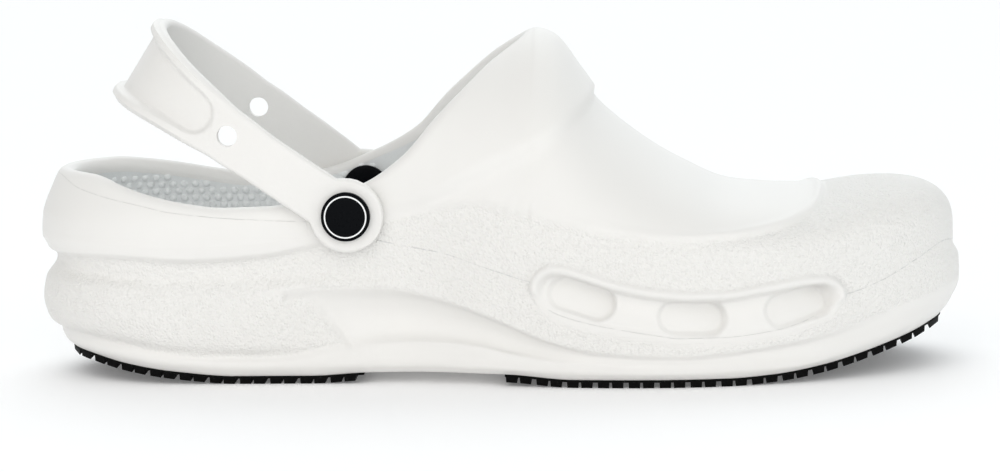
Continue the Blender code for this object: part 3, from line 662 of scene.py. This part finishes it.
# the footbed is a bowl with rounded edges, down to its own line along the shoe
footbed = []
for step in range(1, FOOTBED_ROWS + 1):
    turn = math.pi / 2 * step / FOOTBED_ROWS
    share = math.cos(turn) ** (2 / FOOTBED_POWER) if step < FOOTBED_ROWS else 0.0
    flat = ring_centre + (lining[-1][:, :2] - ring_centre) * share
    floor_height = column(FOOTBED, 1, flat[:, 0] / LENGTH) * FOOTBED_HEIGHT
    drop = math.sin(turn) ** (2 / FOOTBED_POWER)
    footbed.append(np.column_stack([flat, lining[-1][:, 2] * (1 - drop) + floor_height * drop]))


def white_foam(name, colour, roughness, marked):
    """Closed-cell foam with a satin skin. On a marked piece it is pebbled where the attribute
    grain is 1, and has a hairline where the attribute parting is near 0: a fine groove, darkened
    with painted shade."""
    made, shader = new_material(name)
    nodes, links = made.node_tree.nodes, made.node_tree.links
    shader.inputs["Subsurface Weight"].default_value = 0.0
    shader.inputs["Specular IOR Level"].default_value = 0.42
    shader.inputs["Coat Weight"].default_value = 0.0
    place = nodes.new("ShaderNodeTexCoord").outputs["Object"]

    def texture(kind, scale, **settings):
        made_node = nodes.new(kind)
        made_node.inputs["Scale"].default_value = scale
        for key, value in settings.items():
            if key in made_node.inputs:
                made_node.inputs[key].default_value = value
            else:
                setattr(made_node, key, value)
        links.new(place, made_node.inputs["Vector"])
        return made_node

    def calculate(operation, first_value, second_value):
        made_node = nodes.new("ShaderNodeMath")
        made_node.operation = operation
        for socket, value in zip(made_node.inputs, (first_value, second_value)):
            if isinstance(value, (int, float)):
                socket.default_value = value
            else:
                links.new(value, socket)
        return made_node.outputs[0]

    pebbles = texture("ShaderNodeTexVoronoi", 1300.0, feature="SMOOTH_F1", Smoothness=0.6)
    broad = texture("ShaderNodeTexNoise", 760.0, Detail=2.0)
    fine = texture("ShaderNodeTexNoise", 1900.0, Detail=2.0)
    pebble = calculate("MULTIPLY", pebbles.outputs["Distance"], -1.1)
    pebble = calculate("ADD", pebble, broad.outputs["Fac"])
    skin = calculate("MULTIPLY", fine.outputs["Fac"], 0.07)
    if marked:
        grain_mask = nodes.new("ShaderNodeAttribute")
        grain_mask.attribute_name = "grain"
        parting = nodes.new("ShaderNodeAttribute")
        parting.attribute_name = "parting"
        height = calculate("ADD", calculate("MULTIPLY", pebble, grain_mask.outputs["Fac"]), skin)
        away = calculate("ABSOLUTE", parting.outputs["Fac"], 0.0)
        line = calculate("SUBTRACT", 1.0, calculate("MULTIPLY", away, 4.2))
        broken = texture("ShaderNodeTexNoise", 520.0, Detail=1.0)
        broken_share = calculate("SUBTRACT", calculate("MULTIPLY", broken.outputs["Fac"], 3.2), 0.85)
        broken_share = calculate("MINIMUM", broken_share, 1.0)
        line = calculate("MULTIPLY", calculate("MAXIMUM", line, 0.0), broken_share)
        line = calculate("MAXIMUM", line, 0.0)
        height = calculate("SUBTRACT", height, calculate("MULTIPLY", line, 0.35))
    else:
        height = calculate("ADD", calculate("MULTIPLY", pebble, 0.10), skin)
    bump = nodes.new("ShaderNodeBump")
    bump.inputs["Strength"].default_value = 0.8
    bump.inputs["Distance"].default_value = 0.00042
    links.new(height, bump.inputs["Height"])
    links.new(bump.outputs["Normal"], shader.inputs["Normal"])
    cloud = texture("ShaderNodeTexNoise", 22.0, Detail=3.0)
    tone = nodes.new("ShaderNodeValToRGB")
    tone.color_ramp.elements[0].color = (*[c * 0.965 for c in colour], 1)
    tone.color_ramp.elements[1].color = (*colour, 1)
    links.new(cloud.outputs["Fac"], tone.inputs["Fac"])
    # painted shade: the hairlines' colour is pulled towards a cool grey, as shade in their fine
    # grooves
    if marked:
        painted_line_shade = nodes.new("ShaderNodeMix")
        painted_line_shade.data_type = "RGBA"
        links.new(calculate("MULTIPLY", line, 0.42), painted_line_shade.inputs[0])
        links.new(tone.outputs["Color"], painted_line_shade.inputs[6])
        painted_line_shade.inputs[7].default_value = (0.30, 0.32, 0.33, 1)
        links.new(painted_line_shade.outputs[2], shader.inputs["Base Color"])
        rough = calculate("ADD", calculate("MULTIPLY", grain_mask.outputs["Fac"], 0.10), roughness)
    else:
        links.new(tone.outputs["Color"], shader.inputs["Base Color"])
        rough = calculate("ADD", calculate("MULTIPLY", cloud.outputs["Fac"], 0.06), roughness)
    links.new(rough, shader.inputs["Roughness"])
    return made


def new_piece(name, points, faces, material):
    """Smooth mesh piece from points measured from the heel, set over the origin."""
    mesh = bpy.data.meshes.new(name)
    mesh.from_pydata((points - MIDDLE).tolist(), [], faces)
    mesh.materials.append(material)
    mesh.shade_smooth()
    return placed(name, mesh)


def tidy_mesh(piece):
    """Joins doubled points and turns every face outward."""
    work = bmesh.new()
    work.from_mesh(piece.data)
    bmesh.ops.remove_doubles(work, verts=work.verts, dist=2e-6)
    bmesh.ops.recalc_face_normals(work, faces=work.faces)
    work.to_mesh(piece.data)
    work.free()


def strip_faces(rows_in_grid, skipped):
    """Quads of a grid that is closed round the shoe, but for those that are skipped."""
    faces = []
    for k in range(count):
        after = (k + 1) % count
        for j in range(rows_in_grid - 1):
            if not skipped(k, j):
                corner = k * rows_in_grid + j
                over = after * rows_in_grid + j
                faces.append((corner, over, over + 1, corner + 1))
    return faces


foam_white = white_foam("foam_white", (0.80, 0.79, 0.77), 0.46, True)
skin_grid = np.concatenate([outer, np.stack(roll + lining[:1], axis=1)], axis=1)
skin_rows = skin_grid.shape[1]
skin_faces = strip_faces(skin_rows, lambda k, j: front <= k < count - front and j >= top)
clog_skin = new_piece("clog_skin", skin_grid.reshape(-1, 3), skin_faces, foam_white)

# pebbled fields: the side between the parting line and the scoop, the heel and the toe cap
smooth_fields = np.minimum(line_at(BAND_LINE, x_at), line_at(PANEL_LINE, x_at))
upper_edge = np.where(x_at < 0.100, line_at(LEDGE_LINE, x_at), smooth_fields)
upper_edge = np.where(x_at > 0.2478, 1.0, upper_edge)
grain = ease((upper_edge - z_at) / 0.0012 + 0.3)
under_ridge = ease((line_at(SWOOSH_LINE, x_at) - z_at) / 0.0010 + 0.5)
past_pod = ease((x_at - line_at(POD_FRONT, z_at)) / 0.0010 + 0.5)
grain = grain * (1 - under_ridge * past_pod)
grain = grain * np.where(x_at < 0.104, ease((z_at - line_at(LIP_LINE, x_at)) / 0.0010 + 0.3), 1.0)
grain = grain * (1 - ease((vent_field(x_at, z_at) + 0.0034) / 0.0010))
# the attribute parting counts away from the nearest hairline, which is grooved and darkened
# with painted shade, and NO_LINE is far from any
NO_LINE, PARTING_SCALE, HAIR_SCALE = 9.0, 1000, 3000
parting = (z_at - line_at(PARTING_LINE, x_at)) * PARTING_SCALE
parting = np.where((vent_field(x_at, z_at) > -0.0030) | (x_at < 0.108), NO_LINE, parting)
rim_hair = (z_at - line_at(RIM_LINE, x_at)) * HAIR_SCALE
parting = np.where((x_at < 0.088) & (z_at > 0.046), rim_hair, parting)
vent_hair = (z_at - line_at(VENT_BOTTOM, x_at) + 0.0002) * HAIR_SCALE
near_edge = (x_at > 0.161) & (x_at < 0.243) & (np.abs(vent_hair) < 6.0)
parting = np.where(near_edge, vent_hair, parting)
grain_full = np.zeros((count, skin_rows))
grain_full[:, : top + 1] = grain
parting_full = np.full((count, skin_rows), NO_LINE)
parting_full[:, : top + 1] = parting
for label, values in (("grain", grain_full), ("parting", parting_full)):
    attribute = clog_skin.data.attributes.new(label, "FLOAT", "POINT")
    attribute.data.foreach_set("value", values.reshape(-1).astype(np.float32))
tidy_mesh(clog_skin)
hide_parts("clog_body")
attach(clog_skin, "root")

# The lining is the inside of the same moulding, from the rim down to the cupped footbed.
# It is the same foam, but its colour is painted: bluer, for the cool tint of the shade inside
# the shoe, and a little lighter, to lift that shade. Its skin is also duller.
lining_grid = np.stack(lining + footbed, axis=1)
lining_rows = lining_grid.shape[1]
lining_faces = strip_faces(lining_rows, lambda k, j: False)
# painted shade tone: a cooler, lighter copy of the outer foam's colour for the inside
foam_lining_painted_shade = white_foam("foam_lining_painted_shade", (0.83, 0.845, 0.845), 0.55, False)
clog_lining = new_piece("clog_lining", lining_grid.reshape(-1, 3), lining_faces, foam_lining_painted_shade)
tidy_mesh(clog_lining)
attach(clog_lining, "root")

# Small round nubs cover the inside of the heel wall below the rim. They are moulded with the
# lining, in staggered rows, and keep the heel from slipping.
NUB_RADIUS, NUB_RISE, NUB_PITCH, NUB_ROW = 0.00135, 0.0010, 0.0037, 0.0024
NUB_STATION_END = 0.36
NUB_LOW, NUB_HIGH, NUB_MARGIN = 0.031, 0.0620, 0.0008
reach_along = np.linalg.norm(np.diff(lining_grid[:, 2], axis=0), axis=1)
reach_along = np.concatenate([[0], np.cumsum(reach_along)])
whole_length = reach_along[-1] + np.linalg.norm(lining_grid[0, 2] - lining_grid[-1, 2])
nub_points, nub_faces = [], []
NUB_SIDES, NUB_RINGS, NUB_ROOT = 10, 3, 0.0002
nub_rows = int((NUB_HIGH - NUB_LOW) / NUB_ROW)
for row in range(nub_rows + 1):
    wanted = NUB_LOW + row * NUB_ROW
    for spot in np.arange(0.5 * (row % 2), whole_length / NUB_PITCH) * NUB_PITCH:
        k = min(int(np.searchsorted(reach_along, spot, side="right")) - 1, count - 1)
        part = (spot - reach_along[k]) / (np.append(reach_along, whole_length)[k + 1] - reach_along[k])
        wall = lining_grid[k] * (1 - part) + lining_grid[(k + 1) % count] * part
        heights = wall[:, 2]
        if ring[k] > NUB_STATION_END or wanted > heights[0] - NUB_MARGIN:
            continue
        j = int(np.argmin(np.abs(heights[: lining_rows - 3] - wanted)))
        j = min(max(j, 1), lining_rows - 2)
        other = j - 1 if heights[j] < wanted else j + 1
        share = (wanted - heights[j]) / (heights[other] - heights[j])
        base = wall[j] * (1 - share) + wall[other] * share
        sideways = lining_grid[(k + 1) % count, j] - lining_grid[k - 1, j]
        inward = np.cross(sideways, wall[j - 1] - wall[j + 1])
        inward /= np.linalg.norm(inward)
        to_middle = np.append(ring_centre[k], 0.04) - base
        inward = inward if inward @ to_middle > 0 else -inward
        sideways = sideways / np.linalg.norm(sideways)
        upward = np.cross(inward, sideways)
        start_point = len(nub_points)
        for step in range(NUB_RINGS):
            lean = math.pi / 2 * step / NUB_RINGS
            for turn in np.arange(NUB_SIDES) * 2 * math.pi / NUB_SIDES:
                flat_part = sideways * math.cos(turn) + upward * math.sin(turn)
                raised_part = inward * (NUB_RISE * math.sin(lean) - NUB_ROOT)
                nub_points.append(base + flat_part * NUB_RADIUS * math.cos(lean) + raised_part)
        nub_points.append(base + inward * (NUB_RISE - NUB_ROOT))
        for step in range(NUB_RINGS - 1):
            for side in range(NUB_SIDES):
                near = start_point + step * NUB_SIDES
                after = (side + 1) % NUB_SIDES
                over = near + NUB_SIDES
                nub_faces.append((near + side, near + after, over + after, over + side))
        near = start_point + (NUB_RINGS - 1) * NUB_SIDES
        for side in range(NUB_SIDES):
            nub_faces.append((near + side, near + (side + 1) % NUB_SIDES, len(nub_points) - 1))
# the nubs share the lining's painted shade tone
heel_nubs = new_piece("heel_nubs", np.array(nub_points), nub_faces, foam_lining_painted_shade)
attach(heel_nubs, "root")

# The heel strap is one foam band, which swings on the two rivets. Round the heel it widens,
# its edges roll outward as soft beads, and the field between them is sunk.
RIVET_X = 0.3435 * LENGTH
RIVET_Z = 0.50 * COLLAR_HEIGHT
STRAP_TILT = math.radians(32.5)
STRAP_REACH, STRAP_THICKNESS, STRAP_DISC = 0.083, 0.0036, 0.0114
STRAP_NECK, STRAP_MIDDLE, STRAP_BACK = 0.0160, 0.0172, 0.0285
STRAP_LIFT, STRAP_TWIST, STRAP_POWER = 0.0024, 0.0024, 2.6
STRAP_HOLE, HOLE_REACH, SEAT_GAP = 0.0063, 0.0438, 0.0003
BEAD_WIDTH, FIELD_DEPTH, FIELD_END = 0.0036, 0.0013, 0.0550
STRAP_WIDTH = [
    # station, neck, middle, back
    (0.00, 1.00, 0.00, 0.00),
    (0.36, 1.00, 0.00, 0.00),
    (0.52, 0.00, 1.00, 0.00),
    (0.65, 0.00, 0.78, 0.22),
    (0.79, 0.00, 0.52, 0.48),
    (0.93, 0.00, 0.16, 0.84),
    (1.00, 0.00, 0.00, 1.00),
]


def strap_seat(side):
    """Height of the strap's inner face over the centre plane where it lies on the body."""
    x = (RIVET_X + STRAP_DISC * np.linspace(-1, 1, 9)) / LENGTH
    return np.abs(outline(x, side)[:, 1]).max() + SEAT_GAP


reach = STRAP_REACH - STRAP_THICKNESS / 2
lateral_seat = strap_seat(-1) + STRAP_THICKNESS / 2
medial_seat = strap_seat(1) + STRAP_THICKNESS / 2
disc_turn = -STRAP_DISC * np.cos(np.linspace(0.03, math.pi / 2, 24))[:-1]
band_turn = np.linspace(0, math.pi, 241)
bend = 2 / STRAP_POWER
strap_p = np.concatenate([disc_turn, reach * np.sin(band_turn) ** bend, disc_turn[::-1]])
across_share = np.sign(np.cos(band_turn)) * np.abs(np.cos(band_turn)) ** bend
strap_share = np.concatenate([np.ones(23), across_share, -np.ones(23)])
strap_y = np.where(strap_share > 0, -lateral_seat * strap_share, -medial_seat * strap_share)
path = np.column_stack([strap_p, strap_y])
path_along = np.gradient(path, axis=0)
path_along /= np.linalg.norm(path_along, axis=1, keepdims=True)
path_out = np.column_stack([path_along[:, 1], -path_along[:, 0]])
at = np.clip(strap_p, 0, None) / STRAP_REACH
strap_sizes = (STRAP_NECK, STRAP_MIDDLE, STRAP_BACK)
band_width = sum(column(STRAP_WIDTH, k + 1, at) * size for k, size in enumerate(strap_sizes))
disc_width = 2 * np.sqrt(np.clip(STRAP_DISC**2 - strap_p**2, 0, None))
half_width = np.where(strap_p < 0, disc_width, np.maximum(disc_width, band_width)) / 2


def strap_lift(p, medial):
    """How far the band rises over its own plane at a distance p behind the rivets."""
    back = np.clip(p / STRAP_REACH, 0, 1)
    return STRAP_LIFT * back + STRAP_TWIST * np.sin(math.pi * back) * medial


strap_rise = strap_lift(strap_p, strap_share < 0)
walked = np.concatenate([[0], np.cumsum(np.linalg.norm(np.diff(path, axis=0), axis=1))])
from_back = np.abs(walked - walked[np.argmax(strap_p)])
tilt_along = np.array([-math.cos(STRAP_TILT), 0, math.sin(STRAP_TILT)])
tilt_up = np.array([math.sin(STRAP_TILT), 0, math.cos(STRAP_TILT)])
strap_origin = np.array([RIVET_X, 0, RIVET_Z])
FACE_STEPS, EDGE_STEPS = 44, 8
BEAD_RISE_BACK, EDGE_ROUND, BORE_RADIUS = 0.0011, 0.0013, 0.0033
edge_angles = np.linspace(-math.pi / 2, math.pi / 2, EDGE_STEPS + 1)[1:-1]
strap_points = []
thick_half = STRAP_THICKNESS / 2
for k in range(len(path)):
    half = half_width[k]
    edge_round = min(EDGE_ROUND, half * 0.9)
    flat = half - edge_round
    near_back = ease((FIELD_END + 0.006 - from_back[k]) / 0.022)
    # rows crowd at the beads on both sides of the sunk field
    even = np.linspace(-1, 1, FACE_STEPS + 1)
    rises = flat * (even + 0.20 * np.sin(math.pi * even) * near_back)
    past_end = np.clip(from_back[k] - (FIELD_END - half + BEAD_WIDTH), 0, None)
    field = ease((half - BEAD_WIDTH - np.hypot(past_end, rises)) / 0.0012 + 0.4)
    bead = np.sqrt(np.clip(1 - ((np.abs(rises) - half + 0.0022) / 0.0023) ** 2, 0, 1))
    for rise, sunk, swell in zip(rises, field, bead):
        depth = thick_half - FIELD_DEPTH * sunk + BEAD_RISE_BACK * swell * near_back
        strap_points.append((k, depth, rise))
    # top edge, inner face, bottom edge
    for turn in edge_angles[::-1]:
        edge_rise = half - edge_round * (1 - math.cos(turn))
        strap_points.append((k, thick_half * math.sin(turn), edge_rise))
    for rise in rises[::-1]:
        strap_points.append((k, -thick_half, rise))
    for turn in edge_angles:
        edge_rise = -half + edge_round * (1 - math.cos(turn))
        strap_points.append((k, thick_half * math.sin(turn), edge_rise))
loop = 2 * (FACE_STEPS + 1) + 2 * (EDGE_STEPS - 1)
strap_mesh_points = []
for k, depth, rise in strap_points:
    flat_place = path[k] + path_out[k] * depth
    sideways = np.array([0, flat_place[1], 0])
    upward = tilt_up * (rise + strap_rise[k])
    strap_mesh_points.append(strap_origin + tilt_along * flat_place[0] + sideways + upward)
last_loop = len(strap_mesh_points) - loop
strap_faces = [tuple(range(loop)), tuple(range(last_loop, last_loop + loop))]
for k in range(len(path) - 1):
    for j in range(loop):
        after = (j + 1) % loop
        start_point, over = k * loop, (k + 1) * loop
        strap_faces.append((start_point + j, start_point + after, over + after, over + j))
foam_strap = white_foam("foam_strap", (0.80, 0.79, 0.77), 0.42, False)
strap_band = new_piece("strap_band", np.array(strap_mesh_points), strap_faces, foam_strap)
tidy_mesh(strap_band)
PUNCH_LENGTH = 0.1
punches = [(RIVET_X, side * PUNCH_LENGTH / 2, RIVET_Z, BORE_RADIUS) for side in (-1, 1)]
for side in (-1, 1):
    rise = strap_lift(HOLE_REACH, side > 0)
    hole_x = RIVET_X - math.cos(STRAP_TILT) * HOLE_REACH + math.sin(STRAP_TILT) * rise
    hole_z = RIVET_Z + math.sin(STRAP_TILT) * HOLE_REACH + math.cos(STRAP_TILT) * rise
    punches.append((hole_x, side * PUNCH_LENGTH / 2, hole_z, STRAP_HOLE / 2))
for x_place, y_place, z_place, punch_radius in punches:
    work = bmesh.new()
    round_size = {"radius1": punch_radius, "radius2": punch_radius, "depth": PUNCH_LENGTH}
    bmesh.ops.create_cone(work, cap_ends=True, segments=48, **round_size)
    punch_mesh = bpy.data.meshes.new("punch")
    work.to_mesh(punch_mesh)
    work.free()
    punch = placed("punch", punch_mesh)
    punch.location = (x_place - MIDDLE[0], y_place, z_place)
    punch.rotation_euler = (math.pi / 2, 0, 0)
    cut = strap_band.modifiers.new("cut", "BOOLEAN")
    cut.operation = "DIFFERENCE"
    cut.object = punch
    evaluated = strap_band.evaluated_get(bpy.context.evaluated_depsgraph_get())
    cut_mesh = bpy.data.meshes.new_from_object(evaluated)
    strap_band.modifiers.clear()
    strap_band.data = cut_mesh
    bpy.data.objects.remove(punch)
strap_band.data.set_sharp_from_angle(angle=math.radians(50))
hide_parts("heel_strap")
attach(strap_band, "root")

# A turned rivet of black plastic holds the strap at each side: a low domed cap outside, a
# shank through strap and wall, and a plain button inside. A fine white ring is set in the cap.
RIVET_RADIUS, SHANK_RADIUS = 0.0075, 0.003
CAP_THICKNESS, BUTTON_THICKNESS, BUTTON_ROOM = 0.0022, 0.002, 0.0016
RING_RADIUS, RING_WIDTH, RING_ROOT = 0.0063, 0.00042, 0.0002
BUTTON_ROUND, CAP_DOME = 0.0009, 0.06
rivet_black, rivet_shader = new_material("rivet_black")
rivet_nodes, rivet_links = rivet_black.node_tree.nodes, rivet_black.node_tree.links
rivet_shader.inputs["Base Color"].default_value = (0.0025, 0.003, 0.004, 1)
rivet_shader.inputs["Specular IOR Level"].default_value = 0.04
rivet_place = rivet_nodes.new("ShaderNodeTexCoord")
rivet_noise = rivet_nodes.new("ShaderNodeTexNoise")
rivet_noise.inputs["Scale"].default_value = 900.0
rivet_rough = rivet_nodes.new("ShaderNodeMapRange")
rivet_rough.inputs["To Min"].default_value = 0.22
rivet_rough.inputs["To Max"].default_value = 0.36
rivet_links.new(rivet_place.outputs["Object"], rivet_noise.inputs["Vector"])
rivet_links.new(rivet_noise.outputs["Fac"], rivet_rough.inputs["Value"])
rivet_links.new(rivet_rough.outputs["Result"], rivet_shader.inputs["Roughness"])
ring_white, ring_shader = new_material("ring_white")
ring_shader.inputs["Base Color"].default_value = (0.85, 0.86, 0.86, 1)
ring_shader.inputs["Roughness"].default_value = 0.4


def turned(name, profile, steps, material, side):
    """Solid of revolution about the rivet's axis from a profile of (radius, distance)."""
    points, faces = [], []
    for turn in np.arange(steps) * 2 * math.pi / steps:
        for r, d in profile:
            points.append((RIVET_X + r * math.cos(turn), side * d, RIVET_Z + r * math.sin(turn)))
    n = len(profile)
    for k in range(steps):
        after = (k + 1) % steps
        for j in range(n - 1):
            faces.append((k * n + j, after * n + j, after * n + j + 1, k * n + j + 1))
    made = new_piece(name, np.array(points), faces, material)
    tidy_mesh(made)
    made.data.set_sharp_from_angle(angle=math.radians(38))
    return made


for rivet_name, side in (("lateral", -1), ("medial", 1)):
    face = strap_seat(side) + STRAP_THICKNESS + SEAT_GAP
    back = strap_seat(side) - SEAT_GAP - WALL - BUTTON_ROOM
    low = back - BUTTON_THICKNESS
    profile = [(0, face + CAP_THICKNESS)]
    for share in np.linspace(0.1, 1, 14):
        fall = CAP_DOME * share**2 + 0.30 * ease((share - 0.86) / 0.14) ** 2
        profile.append((RIVET_RADIUS * share, face + CAP_THICKNESS * (1 - fall)))
    profile += [(RIVET_RADIUS, face), (SHANK_RADIUS, face)]
    profile += [(SHANK_RADIUS, back), (RIVET_RADIUS, back)]
    for turn in np.linspace(0, math.pi / 2, 6):
        inset = BUTTON_ROUND * (1 - math.cos(turn))
        profile.append((RIVET_RADIUS - inset, low + BUTTON_ROUND * (1 - math.sin(turn))))
    profile += [(RIVET_RADIUS * 0.4, low), (0, low)]
    rivet = turned("rivet_turned_" + rivet_name, profile, 64, rivet_black, side)
    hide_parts("rivet_" + rivet_name)
    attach(rivet, "root")
    ring_height = face + CAP_THICKNESS * (1 - CAP_DOME * (RING_RADIUS / RIVET_RADIUS) ** 2) + 0.00003
    ring_profile = [
        (RING_RADIUS - RING_WIDTH / 2, ring_height - RING_ROOT),
        (RING_RADIUS - RING_WIDTH / 2, ring_height),
        (RING_RADIUS + RING_WIDTH / 2, ring_height - 0.00001),
        (RING_RADIUS + RING_WIDTH / 2, ring_height - RING_ROOT),
    ]
    ring_piece = turned("cap_ring_" + rivet_name, ring_profile, 64, ring_white, side)
    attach(ring_piece, "root")

# The treads are two plates of black rubber under the heel and the forefoot, bonded to the
# foam and wrapped a little up its edge. Each carries ranks of short blocks with narrow
# channels between them, in pairs along the shoe.
TREAD_THICKNESS, PLATE_THICKNESS, TREAD_INSET = 0.0022, 0.0005, 0.0001
PLATE_WRAP = 0.0007
BLOCK_LENGTH, BLOCK_GAP, PAIR_GAP, BLOCK_TAPER = 0.0036, 0.0007, 0.0015, 0.00012
BLOCK_WIDTH, ROW_GAP = 0.0064, 0.0012
FIRST_BLOCK, NARROWEST_RANK = 0.0003, 0.004
# sides of a block by its corners: four upper, then four lower, heel end and lateral first
BLOCK_SIDES = ((0, 1, 3, 2), (4, 6, 7, 5), (0, 2, 6, 4), (1, 5, 7, 3), (0, 4, 5, 1), (2, 3, 7, 6))
rubber_black, rubber_shader = new_material("rubber_black")
rubber_nodes, rubber_links = rubber_black.node_tree.nodes, rubber_black.node_tree.links
rubber_shader.inputs["Specular IOR Level"].default_value = 0.05
rubber_place = rubber_nodes.new("ShaderNodeTexCoord")
rubber_noise = rubber_nodes.new("ShaderNodeTexNoise")
rubber_noise.inputs["Scale"].default_value = 1500.0
rubber_tone = rubber_nodes.new("ShaderNodeValToRGB")
rubber_tone.color_ramp.elements[0].color = (0.001, 0.001, 0.001, 1)
rubber_tone.color_ramp.elements[1].color = (0.005, 0.005, 0.005, 1)
rubber_bump = rubber_nodes.new("ShaderNodeBump")
rubber_bump.inputs["Strength"].default_value = 0.25
rubber_bump.inputs["Distance"].default_value = 0.0002
rubber_shader.inputs["Roughness"].default_value = 0.62
rubber_links.new(rubber_place.outputs["Object"], rubber_noise.inputs["Vector"])
rubber_links.new(rubber_noise.outputs["Fac"], rubber_tone.inputs["Fac"])
rubber_links.new(rubber_noise.outputs["Fac"], rubber_bump.inputs["Height"])
rubber_links.new(rubber_tone.outputs["Color"], rubber_shader.inputs["Base Color"])
rubber_links.new(rubber_bump.outputs["Normal"], rubber_shader.inputs["Normal"])


def tread_edge(side):
    """Outer edge of the tread from heel to toe, as distances along and across the shoe."""
    x = np.sin(np.linspace(0, math.pi / 2, 400)) ** 2
    inner, centre = spine(x)
    edge = outline(x, side)
    whole_reach = np.linalg.norm(edge - centre, axis=-1)
    share = 1 - (column(SIDE_INSET, 1, x) * RELIEF + TREAD_INSET) / whole_reach
    return centre + (edge - centre) * share[:, None]


lateral_edge, medial_edge = tread_edge(-1), tread_edge(1)
HEEL_TIP = max(lateral_edge[0, 0], medial_edge[0, 0])
TOE_TIP = min(lateral_edge[-1, 0], medial_edge[-1, 0])


def across_at(x):
    """Lateral and medial edge of the tread at a distance along the shoe."""
    lateral = np.interp(x, lateral_edge[:, 0], lateral_edge[:, 1])
    medial = np.interp(x, medial_edge[:, 0], medial_edge[:, 1])
    return lateral, medial


def sole_height(x):
    """Height of the underside of the foam at a distance along the shoe."""
    return float(column(UNDERSIDE, 1, x / LENGTH)) * HEEL_HEIGHT


for tread_name, tread_start, tread_end, node in (
    ("heel_blocks", HEEL_TIP, 0.357 * LENGTH, "heel_tread"),
    ("forefoot_blocks", 0.508 * LENGTH, TOE_TIP, "forefoot_tread"),
):
    points, faces = [], []
    # plate
    plate_x = tread_start + (tread_end - tread_start) * np.sin(np.linspace(0, math.pi / 2, 61)) ** 2
    PLATE_STEPS = 12
    for depth in (-PLATE_WRAP, SEAT_GAP + PLATE_THICKNESS):
        for x in plate_x:
            lateral, medial = across_at(x)
            for share in np.linspace(0, 1, PLATE_STEPS + 1):
                points.append((x, lateral + (medial - lateral) * share, sole_height(x) - depth))
    n, m = PLATE_STEPS + 1, len(plate_x)
    for layer in (0, 1):
        for k in range(m - 1):
            for j in range(PLATE_STEPS):
                corner = layer * n * m + k * n + j
                faces.append((corner, corner + 1, corner + n + 1, corner + n))
    for k in range(m - 1):
        for j in (0, PLATE_STEPS):
            corner = k * n + j
            faces.append((corner, corner + n, corner + n + n * m, corner + n * m))
    for k in (0, m - 1):
        for j in range(PLATE_STEPS):
            corner = k * n + j
            faces.append((corner, corner + 1, corner + 1 + n * m, corner + n * m))
    # blocks, in ranks across the sole
    place, rank = tread_start + FIRST_BLOCK, 0
    while place + BLOCK_LENGTH < tread_end:
        ends = (place, place + BLOCK_LENGTH)
        widths = [across_at(x) for x in ends]
        narrow = min(medial - lateral for lateral, medial in widths)
        number = max(int(round(narrow / (BLOCK_WIDTH + ROW_GAP))), 1)
        for row in range(number if narrow > NARROWEST_RANK else 0):
            base = len(points)
            for depth, pull in ((PLATE_THICKNESS * 0.5, 0.0), (TREAD_THICKNESS, BLOCK_TAPER)):
                for x, (lateral, medial), inward in zip(ends, widths, (pull, -pull)):
                    spacing = (medial - lateral + ROW_GAP) / number
                    near = lateral + row * spacing + pull
                    far = lateral + (row + 1) * spacing - ROW_GAP - pull
                    level = sole_height(x) - SEAT_GAP - depth
                    points.append((x + inward, near, level))
                    points.append((x + inward, far, level))
            for a, b, c, d in BLOCK_SIDES:
                faces.append((base + a, base + b, base + c, base + d))
        rank += 1
        place += BLOCK_LENGTH + (BLOCK_GAP if rank % 2 else PAIR_GAP)
    tread = new_piece(tread_name, np.array(points), faces, rubber_black)
    tidy_mesh(tread)
    tread.data.set_sharp_from_angle(angle=math.radians(30))
    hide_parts(node)
    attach(tread, "root")
